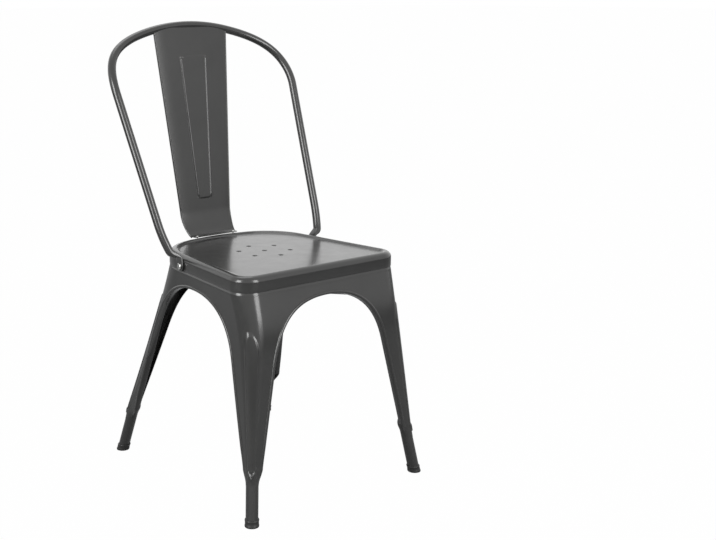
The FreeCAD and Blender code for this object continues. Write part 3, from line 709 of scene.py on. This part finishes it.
def plan_loop(plan, inset):
    """Closed plan outline with rounded corners, drawn in by an inset."""
    corners = [
        Vector((plan.front_half, plan.front_y, 0)), Vector((plan.rear_half, plan.rear_y, 0)),
        Vector((0, plan.rear_y + plan.bow, 0)),
        Vector((-plan.rear_half, plan.rear_y, 0)), Vector((-plan.front_half, plan.front_y, 0)),
    ]
    radii = [plan.front_radius, plan.rear_radius, BACK_RADIUS, plan.rear_radius, plan.front_radius]
    loop = []
    for index, (corner, radius) in enumerate(zip(corners, radii)):
        before = (corners[index - 1] - corner).normalized()
        after = (corners[(index + 1) % len(corners)] - corner).normalized()
        centre, spokes = rounding(corner, before, after, radius, SEAT_ARC_STEPS)[:2]
        loop += [centre + spoke * ((radius - inset) / radius) for spoke in spokes]
    return loop


def seat_loop(inset, level):
    """Seat outline drawn in by an inset, at a level."""
    return [place(point.x, point.y, level) for point in plan_loop(SEAT_PLAN, inset)]


def seat_profile():
    """Inset and level pairs from the skirt hem over the rim into the dish."""
    profile = [(inset, STEP_LEVEL + rise) for inset, rise in HEM_PROFILE]
    for step in range(RIM_STEPS + 1):
        angle = math.pi / 2 * step / RIM_STEPS
        inset = RIM_WIDTH * (1 - math.cos(angle))
        profile.append((inset, SEAT_TOP - RIM_ROLL_DROP + RIM_ROLL_DROP * math.sin(angle)))
    for step in range(1, DISH_STEPS + 1):
        share = step / DISH_STEPS
        profile.append((RIM_WIDTH + DISH_SLOPE * share, SEAT_TOP - DISH_DEPTH * soft(share)))
    profile.append((RIM_WIDTH + DISH_SLOPE + DISH_FLAT, SEAT_TOP - DISH_DEPTH))
    return profile


def underside_profile():
    """Inset and level pairs from the hem up the inside of the skirt to the underside."""
    ceiling = SEAT_TOP - DISH_DEPTH - SHEET
    profile = [(SHEET, STEP_LEVEL + HEM_RISE), (SHEET, SKIRT_INSIDE_TOP)]
    return profile + [(SHEET + inset, ceiling - drop) for inset, drop in UNDERSIDE_CORNER]


def hole_centres():
    """Plan centres of the drain holes."""
    centres = [(0.0, HOLE_CENTRE_Y)]
    for index in range(HOLE_COUNT):
        angle = math.radians(HOLE_FIRST_ANGLE + index * 360.0 / HOLE_COUNT)
        x = HOLE_RING_RADIUS * math.cos(angle)
        centres.append((x, HOLE_CENTRE_Y + HOLE_RING_RADIUS * math.sin(angle)))
    return centres


def circle(centre, radius, level):
    """Level circle of points."""
    ring = []
    for step in range(HOLE_SEGMENTS):
        angle = step / HOLE_SEGMENTS * 2 * math.pi
        ring.append(place(centre[0] + radius * math.cos(angle), centre[1] + radius * math.sin(angle), level))
    return ring


def fill_between(builder, rings):
    """Flat faces inside the first ring and outside the others."""
    edges = []
    for ring in rings:
        for index in range(len(ring)):
            pair = (ring[index], ring[(index + 1) % len(ring)])
            edges.append(builder.edges.get(pair) or builder.edges.new(pair))
    bmesh.ops.triangle_fill(builder, use_beauty=True, use_dissolve=False, edges=edges)


def build_seat(name, material):
    """Pressed seat: skirt, rolled rim, dish and rounded drain holes."""
    builder = bmesh.new()
    outer = add_grid(builder, [seat_loop(*pair) for pair in seat_profile()], closed=True)
    inner = add_grid(builder, [seat_loop(*pair) for pair in underside_profile()], closed=True)
    floor_level = SEAT_TOP - DISH_DEPTH
    top_rings = [outer[-1]]
    low_rings = [inner[-1]]
    for centre in hole_centres():
        rows = [circle(centre, HOLE_RADIUS + wide, floor_level + rise) for wide, rise in HOLE_LIP]
        made = add_grid(builder, rows, closed=True)
        top_rings.append(made[0])
        low_rings.append(made[-1])
    fill_between(builder, top_rings)
    fill_between(builder, low_rings)
    return new_object(name, builder, material, TURNED_SMOOTHING)


def side_normal():
    """Outward direction of the right side of the skirt."""
    depth = SEAT_PLAN.rear_y - SEAT_PLAN.front_y
    run = Vector((SEAT_PLAN.rear_half - SEAT_PLAN.front_half, depth, 0)).normalized()
    return Vector((run.y, -run.x, 0))


def bolt_centre():
    """Point where the right hoop bolt meets the skirt."""
    point = side_face(BOLT_Y, LIP_LEVEL)
    return Vector((point.x, point.y, BOLT_Z))


def paddle_way():
    """Upward direction along the flattened hoop end."""
    normal = side_normal()
    lean = math.radians(PADDLE_LEAN)
    return UP * math.cos(lean) + Vector((-normal.y, normal.x, 0)) * math.sin(lean)


def cubic_weights(part):
    """Weights of a cubic curve's four poles at a share of its run."""
    rest = 1 - part
    return rest ** 3, 3 * rest * rest * part, 3 * rest * part * part, part ** 3


def bezier(poles, steps):
    """Points along a cubic curve, without its first one."""
    points = []
    for step in range(1, steps + 1):
        weights = cubic_weights(step / steps)
        points.append(sum((pole * weight for pole, weight in zip(poles, weights)), Vector()))
    return points


def bow_points(start_way):
    """Smooth curve through shoulder, bend, bow and apex of the hoop."""
    knots = [Vector(HOOP_SHOULDER), Vector(HOOP_BEND), Vector(HOOP_BOW), Vector(HOOP_APEX)]
    spans = [(end - start).length for start, end in zip(knots, knots[1:])]
    ways = [start_way, None, None, Vector((-1, 0, 0))]
    sides = []
    for index in (1, 2):
        before = (knots[index] - knots[index - 1]) / spans[index - 1] ** 2
        after = (knots[index + 1] - knots[index]) / spans[index] ** 2
        sides.append((before + after) * 3)
    sides[0] -= ways[0] / spans[0]
    sides[1] -= ways[3] / spans[2]
    first = 2 * (1 / spans[0] + 1 / spans[1])
    second = 2 * (1 / spans[1] + 1 / spans[2])
    link = 1 / spans[1]
    scale = first * second - link * link
    ways[1] = (sides[0] * second - sides[1] * link) / scale
    ways[2] = (sides[1] * first - sides[0] * link) / scale
    points = []
    for index in range(3):
        reach = spans[index] / 3
        poles = [
            knots[index], knots[index] + ways[index] * reach,
            knots[index + 1] - ways[index + 1] * reach, knots[index + 1],
        ]
        points += bezier(poles, BOW_STEPS)
    return points


def hoop_stations():
    """Centre, half width, half thickness and squareness along half the hoop."""
    way = paddle_way()
    base = bolt_centre() + side_normal() * (PADDLE_THICK / 2)
    stations = []
    for step in range(PADDLE_END_STEPS + 1):
        angle = math.pi / 2 * step / PADDLE_END_STEPS
        drop = PADDLE_HALF * math.cos(angle)
        width = max(PADDLE_TIP_HALF, PADDLE_HALF * math.sin(angle))
        stations.append((base - way * drop, width, PADDLE_THICK / 2, PADDLE_SQUARENESS))
    for step in range(1, PADDLE_STEPS + 1):
        spot = base + way * (PADDLE_LENGTH * step / PADDLE_STEPS)
        stations.append((spot, PADDLE_HALF, PADDLE_THICK / 2, PADDLE_SQUARENESS))
    neck = Vector(HOOP_NECK)
    flare = Vector(HOOP_FLARE)
    shoulder = Vector(HOOP_SHOULDER)
    rising = (shoulder - flare).normalized()
    neck_way = ((flare - neck).normalized() * 2 - rising).normalized()
    top = base + way * PADDLE_LENGTH
    reach = (neck - top).length / 3
    blend = bezier([top, top + way * reach, neck - neck_way * reach, neck], NECK_STEPS)
    for index, point in enumerate(blend):
        share = soft((index + 1) / NECK_STEPS)
        stations.append((
            point,
            lerp(PADDLE_HALF, HOOP_TUBE_RADIUS, share),
            lerp(PADDLE_THICK / 2, HOOP_TUBE_RADIUS, share),
            lerp(PADDLE_SQUARENESS, ROUND_SQUARENESS, share),
        ))
    reach = (flare - neck).length / 3
    line = bezier([neck, neck + neck_way * reach, flare - rising * reach, flare], NECK_STEPS)
    line += [flare.lerp(shoulder, step / SIDE_STEPS) for step in range(1, SIDE_STEPS + 1)]
    line += bow_points(rising)
    stations += [(point, HOOP_TUBE_RADIUS, HOOP_TUBE_RADIUS, ROUND_SQUARENESS) for point in line]
    return stations


def section_point(angle, width, thick, squareness):
    """Point of a rounded section."""
    cosine = math.cos(angle)
    sine = math.sin(angle)
    x = math.copysign(abs(cosine) ** (2 / squareness), cosine) * width
    y = math.copysign(abs(sine) ** (2 / squareness), sine) * thick
    return x, y


def build_hoop(name, material):
    """Bent back tube with flattened ends, built as two mirrored halves."""
    builder = bmesh.new()
    stations = hoop_stations()
    centres = [station[0] for station in stations]
    normal = side_normal()
    rings = []
    for index, (centre, width, thick, squareness) in enumerate(stations):
        way = direction(centres, index)
        if index == len(stations) - 1:
            way = Vector((-1, 0, 0))
        normal = (normal - way * normal.dot(way)).normalized()
        across = way.cross(normal)
        ring = []
        for step in range(HOOP_SEGMENTS):
            wide, deep = section_point(step / HOOP_SEGMENTS * 2 * math.pi, width, thick, squareness)
            ring.append(centre + across * wide + normal * deep)
        rings.append(ring)
    for side_x in (-1, 1):
        made = add_grid(builder, [mirrored(ring, side_x) for ring in rings], closed=True)
        add_cap(builder, made[0])
    return new_object(name, builder, material, BENT_SMOOTHING)


def splat_line():
    """Points up the middle of the splat from toe to top, closer at the panel's ends."""
    knee = Vector((0, SPLAT_KNEE_Y, SPLAT_KNEE_Z))
    top = Vector((0, SPLAT_TOP_Y, SPLAT_TOP_Z))
    toe = Vector((0, SPLAT_FOOT_Y, SEAT_TOP + SPLAT_SHEET))
    rest = toe + Vector((0, SPLAT_REST, 0))
    heel_pole = rest + Vector((0, SPLAT_HEEL_PULL, 0))
    knee_pole = knee - (top - knee).normalized() * SPLAT_KNEE_PULL
    points = [toe, toe.lerp(rest, 0.5), rest]
    points += bezier([rest, heel_pole, knee_pole, knee], SPLAT_BEND_STEPS)
    level = SPLAT_KNEE_Z
    while level < SPLAT_TOP_Z - SHORTEST_STEP:
        near_end = min(abs(level - PANEL_BOTTOM_Z), abs(level - PANEL_TOP_Z))
        level = min(level + (FINE_STEP if near_end < FINE_ZONE else COARSE_STEP), SPLAT_TOP_Z)
        points.append(knee.lerp(top, (level - knee.z) / (top.z - knee.z)))
    return points


def splat_front(line, index):
    """Direction out of the splat's front at a point of its line."""
    way = direction(line, index)
    return Vector((0, -way.z, way.y))


def splat_half(level):
    """Half width of the splat at a level."""
    if level < SPLAT_KNEE_Z:
        share = max(0.0, (level - SEAT_TOP) / (SPLAT_KNEE_Z - SEAT_TOP))
        return lerp(SPLAT_FOOT_HALF, SPLAT_KNEE_HALF, 1 - (1 - share) ** 2)
    share = (level - SPLAT_KNEE_Z) / (SPLAT_TOP_Z - SPLAT_KNEE_Z)
    return lerp(SPLAT_KNEE_HALF, SPLAT_TOP_HALF, share)


def panel_half(level):
    """Half width of the raised panel's edge line at a level."""
    share = (level - PANEL_BOTTOM_Z) / (PANEL_TOP_Z - PANEL_BOTTOM_Z)
    held = min(1 + PANEL_OVERRUN, max(-PANEL_OVERRUN, share))
    return lerp(PANEL_BOTTOM_HALF, PANEL_TOP_HALF, held)


def panel_height(x, level):
    """Rise of the raised panel and of the ridge along its sides at a point."""
    inside_x = panel_half(level) - abs(x)
    inside_z = min(PANEL_TOP_Z - level, level - PANEL_BOTTOM_Z)
    inside = min(inside_x, inside_z)
    if inside_x < PANEL_CORNER and inside_z < PANEL_CORNER:
        inside = PANEL_CORNER - math.hypot(PANEL_CORNER - inside_x, PANEL_CORNER - inside_z)
    ridge = PANEL_RIDGE * soft(1 - abs(inside_x - PANEL_WALL / 2) / PANEL_RIDGE_HALF)
    return PANEL_RISE * soft(inside / PANEL_WALL) + ridge * soft(inside_z / PANEL_CORNER)


def splat_columns(level):
    """Distances from the middle where the splat's columns run, packed at panel and edge."""
    panel = panel_half(level)
    edge = splat_half(level)
    beside, plain_start, curl_least = [panel + away for away in OUTSIDE_PANEL]
    curl_start = max(edge - SPLAT_CURL_WIDTH, curl_least)
    columns = [panel * part / PANEL_PARTS for part in range(PANEL_PARTS - 1)]
    columns += [panel - away for away in INSIDE_PANEL]
    columns += [panel - PANEL_WALL * (1 - part / PANEL_WALL_PARTS) for part in range(PANEL_WALL_PARTS + 1)]
    columns += [beside]
    columns += [lerp(plain_start, curl_start, part / PLAIN_PARTS) for part in range(PLAIN_PARTS + 1)]
    columns += [lerp(curl_start, edge, part / CURL_PARTS) for part in range(1, CURL_PARTS + 1)]
    return columns


def splat_curl(x, edge):
    """How far the sheet bends back near its long edge."""
    share = (abs(x) - (edge - SPLAT_CURL_WIDTH)) / SPLAT_CURL_WIDTH
    return SPLAT_CURL_DEPTH * max(0.0, share) ** 2


def curl_share(level):
    """How much of the curl a level has: none at the toe, all of it above the bend."""
    return soft((level - SEAT_TOP - SPLAT_CURL_START) / SPLAT_CURL_RUN)


def build_splat(name, material):
    """Bent back sheet with its raised panel and curled long edges."""
    builder = bmesh.new()
    line = splat_line()
    rows = []
    for index, point in enumerate(line):
        front = splat_front(line, index)
        edge = splat_half(point.z)
        columns = splat_columns(point.z)
        row = []
        for x in [-value for value in reversed(columns[1:])] + columns:
            rise = panel_height(x, point.z) - splat_curl(x, edge) * curl_share(point.z)
            spot = point + front * rise
            row.append(place(x, spot.y, spot.z))
        rows.append(row)
    add_grid(builder, rows)
    obj = new_object(name, builder, material, BENT_SMOOTHING)
    thicken(obj, SPLAT_SHEET)
    return obj


def build_tube(points, radius, name, material):
    """Closed round bar along points in the drawing frame."""
    builder = bmesh.new()
    normal = direction(points, 0).orthogonal().normalized()
    rows = []
    for index, point in enumerate(points):
        way = direction(points, index)
        normal = (normal - way * normal.dot(way)).normalized()
        across = way.cross(normal)
        row = []
        for step in range(ROLL_SEGMENTS):
            angle = step / ROLL_SEGMENTS * 2 * math.pi
            spot = point + normal * (radius * math.cos(angle)) + across * (radius * math.sin(angle))
            row.append(place(spot.x, spot.y, spot.z))
        rows.append(row)
    made = add_grid(builder, rows, closed=True)
    add_cap(builder, made[0])
    add_cap(builder, made[-1])
    return new_object(name, builder, material, BENT_SMOOTHING)


def build_splat_roll(side_x, name, material):
    """Rolled bead along one long edge of the splat."""
    line = splat_line()
    points = []
    for index in range(SPLAT_ROLL_FIRST, len(line)):
        point = line[index]
        curled = curl_share(point.z)
        drop = lerp(SPLAT_ROLL_TOE_DROP, SPLAT_ROLL_DROP, curled) + SPLAT_CURL_DEPTH * curled
        spot = point - splat_front(line, index) * drop
        points.append(Vector((side_x * (splat_half(point.z) + SPLAT_ROLL_OUTSET), spot.y, spot.z)))
    return build_tube(points, SPLAT_ROLL_RADIUS - SPLAT_ROLL_OUTSET, name, material)


def socket_link(tree, out_node, out_name, in_node, in_name):
    """Join two node sockets by name."""
    tree.links.new(out_node.outputs[out_name], in_node.inputs[in_name])


def shader_of(material):
    """Main shader of a material."""
    return material.node_tree.nodes["Principled BSDF"]


def noise(tree, coordinates, scale, detail):
    """Noise texture in the piece's own coordinates."""
    node = tree.nodes.new("ShaderNodeTexNoise")
    node.inputs["Scale"].default_value = scale
    node.inputs["Detail"].default_value = detail
    socket_link(tree, coordinates, "Object", node, "Vector")
    return node


def ranged(tree, source, low, high):
    """Map a noise factor to a range."""
    node = tree.nodes.new("ShaderNodeMapRange")
    node.inputs["From Min"].default_value = NOISE_LOW
    node.inputs["From Max"].default_value = NOISE_HIGH
    node.inputs["To Min"].default_value = low
    node.inputs["To Max"].default_value = high
    socket_link(tree, source, "Fac", node, "Value")
    return node


def tinted(tree, source, dark, light):
    """Colour ramp between two tones, driven by noise."""
    node = tree.nodes.new("ShaderNodeValToRGB")
    low, high = node.color_ramp.elements
    low.position = NOISE_LOW
    high.position = NOISE_HIGH
    low.color = (*dark, 1)
    high.color = (*light, 1)
    socket_link(tree, source, "Fac", node, "Fac")
    return node


def surface(name, dark, light, tone_scale, rough_low, rough_high, grain_scale, grain_height):
    """Material with uneven tone, uneven roughness and a fine grain."""
    material = bpy.data.materials.new(name)
    material.use_nodes = True
    tree = material.node_tree
    shader = shader_of(material)
    coordinates = tree.nodes.new("ShaderNodeTexCoord")
    tone = tinted(tree, noise(tree, coordinates, tone_scale, TONE_DETAIL), dark, light)
    socket_link(tree, tone, "Color", shader, "Base Color")
    patches = noise(tree, coordinates, tone_scale * ROUGH_SCALE, ROUGH_DETAIL)
    socket_link(tree, ranged(tree, patches, rough_low, rough_high), "Result", shader, "Roughness")
    bump = tree.nodes.new("ShaderNodeBump")
    bump.inputs["Strength"].default_value = GRAIN_STRENGTH
    bump.inputs["Distance"].default_value = grain_height
    socket_link(tree, noise(tree, coordinates, grain_scale, GRAIN_DETAIL), "Fac", bump, "Height")
    socket_link(tree, bump, "Normal", shader, "Normal")
    return material


def paint_material():
    """Semi-gloss gunmetal paint."""
    material = surface(
        "painted_steel", dark=(0.015, 0.015, 0.0145), light=(0.022, 0.022, 0.021), tone_scale=9.0,
        rough_low=0.28, rough_high=0.36, grain_scale=900.0, grain_height=0.00002)
    shader = shader_of(material)
    shader.inputs["IOR"].default_value = 1.5
    shader.inputs["Specular IOR Level"].default_value = 0.12
    shader.inputs["Coat Weight"].default_value = 1.0
    shader.inputs["Coat Roughness"].default_value = 0.2
    shader.inputs["Coat IOR"].default_value = 1.55
    return material


def plated_material():
    """Bright plated fasteners."""
    material = surface(
        "plated_steel", dark=(0.50, 0.50, 0.49), light=(0.72, 0.72, 0.70), tone_scale=120.0,
        rough_low=0.12, rough_high=0.26, grain_scale=2500.0, grain_height=0.00002)
    shader_of(material).inputs["Metallic"].default_value = 1.0
    return material


def plastic_material():
    """Black moulded plastic of the foot caps."""
    return surface(
        "black_plastic", dark=(0.010, 0.010, 0.010), light=(0.018, 0.018, 0.017), tone_scale=60.0,
        rough_low=0.34, rough_high=0.46, grain_scale=1600.0, grain_height=0.00005)


def rubber_material():
    """Matte black rubber of the bumper."""
    return surface(
        "black_rubber", dark=(0.010, 0.010, 0.010), light=(0.016, 0.016, 0.016), tone_scale=80.0,
        rough_low=0.6, rough_high=0.75, grain_scale=1200.0, grain_height=0.00006)


def dress_nodes(names, material):
    """Give kept solids the finished material and smooth shading."""
    for name in names:
        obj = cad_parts[name]
        obj.data.materials.clear()
        obj.data.materials.append(material)
        weld = obj.modifiers.new("weld", "WELD")
        weld.merge_threshold = WELD_DISTANCE
        obj.data.shade_smooth()
        obj.data.set_sharp_from_angle(angle=math.radians(SOLID_SMOOTHING))


def dress(obj, slot_name, *nodes):
    """Hide the solids that a new piece stands for; the slot name is not used."""
    if nodes:
        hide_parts(*nodes)


def build_leg(side_x, side_y, label, paint, plastic):
    """All shown pieces of one leg."""
    sheet = build_leg_sheet(side_x, side_y, "sheet_" + label, paint)
    dress(sheet, "painted_steel", "leg_" + label)
    bead = build_bead(cross_arch(side_y), side_x, side_y, False, "bead_cross_" + label, paint)
    dress(bead, "painted_steel")
    bead = build_bead(SIDE_ARCH, side_x, side_y, True, "bead_side_" + label, paint)
    dress(bead, "painted_steel")
    tube = build_lower_leg(side_x, side_y, "tube_" + label, paint)
    dress(tube, "painted_steel")
    cap = build_foot_cap(side_x, side_y, "cap_" + label, plastic)
    dress(cap, "black_plastic", "foot_cap_" + label)


def build_chair():
    """Dress every sub-part of the chair."""
    paint = paint_material()
    plated = plated_material()
    plastic = plastic_material()
    rubber = rubber_material()
    for side_y, end in ENDS:
        for side_x, hand in HANDS:
            build_leg(side_x, side_y, end + "_" + hand, paint, plastic)
    dress(build_seat("seat_dressed", paint), "painted_steel", "seat_pan")
    dress(build_hoop("hoop_dressed", paint), "painted_steel", "back_hoop")
    dress(build_splat("splat_dressed", paint), "painted_steel", "back_splat")
    for side_x, hand in HANDS:
        dress(build_splat_roll(side_x, "splat_roll_" + hand, paint), "painted_steel")
    fasteners = ["splat_rivets", "hoop_bolt_left", "hoop_bolt_right", "hoop_nut_left", "hoop_nut_right"]
    dress_nodes(["brace_lower", "brace_upper", "brace_rivet"], paint)
    dress_nodes(fasteners, plated)
    dress_nodes(["stacking_bumper"], rubber)


def blend_shaders(tree, factor, first, second, output):
    """Mix two shaders by a factor and send the result to the output."""
    mix = tree.nodes.new("ShaderNodeMixShader")
    tree.links.new(factor, mix.inputs[0])
    tree.links.new(first.outputs[0], mix.inputs[1])
    tree.links.new(second.outputs[0], mix.inputs[2])
    tree.links.new(mix.outputs[0], tree.nodes[output].inputs["Surface"])


def floor_material():
    """Pale matt surface that looks white to the camera."""
    material = bpy.data.materials.new("floor")
    material.use_nodes = True
    tree = material.node_tree
    shader = shader_of(material)
    shader.inputs["Base Color"].default_value = FLOOR_COLOUR
    shader.inputs["Roughness"].default_value = FLOOR_ROUGHNESS
    glow = tree.nodes.new("ShaderNodeEmission")
    glow.inputs["Color"].default_value = WHITE
    rays = tree.nodes.new("ShaderNodeLightPath")
    share = tree.nodes.new("ShaderNodeMath")
    share.operation = "MULTIPLY"
    share.inputs[1].default_value = FLOOR_GLOW
    socket_link(tree, rays, "Is Camera Ray", share, 0)
    blend_shaders(tree, share.outputs[0], shader, glow, "Material Output")
    return material


def build_floor():
    """Plain pale floor that reads as the photograph's white ground."""
    builder = bmesh.new()
    bmesh.ops.create_grid(builder, x_segments=1, y_segments=1, size=FLOOR_SIZE)
    mesh = bpy.data.meshes.new("floor")
    builder.to_mesh(mesh)
    builder.free()
    mesh.materials.append(floor_material())
    floor = bpy.data.objects.new("floor", mesh)
    bpy.context.scene.collection.objects.link(floor)


def build_world():
    """White surroundings for camera and reflections, softer fill for the rest."""
    world = bpy.data.worlds.new("studio")
    bpy.context.scene.world = world
    world.use_nodes = True
    tree = world.node_tree
    fill = tree.nodes["Background"]
    fill.inputs["Color"].default_value = FILL_COLOUR
    fill.inputs["Strength"].default_value = FILL_STRENGTH
    white = tree.nodes.new("ShaderNodeBackground")
    white.inputs["Color"].default_value = WHITE
    white.inputs["Strength"].default_value = 1.0
    rays = tree.nodes.new("ShaderNodeLightPath")
    factor = rays.outputs["Is Camera Ray"]
    for kind in ("Is Glossy Ray", "Is Transmission Ray"):
        either = tree.nodes.new("ShaderNodeMath")
        either.operation = "MAXIMUM"
        tree.links.new(factor, either.inputs[0])
        tree.links.new(rays.outputs[kind], either.inputs[1])
        factor = either.outputs[0]
    blend_shaders(tree, factor, fill, white, "World Output")


def bearing(azimuth, elevation):
    """Direction from the chair towards a place given by two angles."""
    turn = math.radians(azimuth)
    rise = math.radians(elevation)
    return Vector((math.sin(turn) * math.cos(rise), -math.cos(turn) * math.cos(rise), math.sin(rise)))


def stand(obj, aim, way, distance):
    """Put a light or camera at a distance from its aim, looking back at it."""
    obj.location = aim + way * distance
    obj.rotation_mode = "QUATERNION"
    obj.rotation_quaternion = (-way).to_track_quat("-Z", "Y")
    bpy.context.scene.collection.objects.link(obj)


def add_light(name, azimuth, elevation, distance, width, height, power):
    """Soft rectangular light aimed at the chair."""
    data = bpy.data.lights.new(name, "AREA")
    data.shape = "RECTANGLE"
    data.size = width
    data.size_y = height
    data.energy = power
    stand(bpy.data.objects.new(name, data), LIGHT_AIM, bearing(azimuth, elevation), distance)


def build_lights():
    """Soft studio lights."""
    for light in LIGHTS:
        add_light(*light)


def build_camera():
    """Camera at the photograph's place, from the fit."""
    turn = math.radians(AZIMUTH)
    right = Vector((math.cos(turn), math.sin(turn), 0))
    data = bpy.data.cameras.new("camera")
    data.sensor_width = SENSOR
    data.lens = FOCAL_PIXELS / IMAGE_SIZE[0] * SENSOR
    data.shift_x = (IMAGE_SIZE[0] / 2 - CENTRE_PIXEL[0]) / IMAGE_SIZE[0]
    data.shift_y = (CENTRE_PIXEL[1] - IMAGE_SIZE[1] / 2) / IMAGE_SIZE[0]
    camera = bpy.data.objects.new("camera", data)
    aim = right * SIDE_OFFSET + UP * AIM_HEIGHT + Vector((0, SHIFT_Y * MM, 0))
    stand(camera, aim, bearing(AZIMUTH, ELEVATION), DISTANCE)
    bpy.context.scene.camera = camera


build_chair()
build_floor()
build_world()
build_lights()
build_camera()
bpy.context.scene.view_settings.view_transform = "Standard"
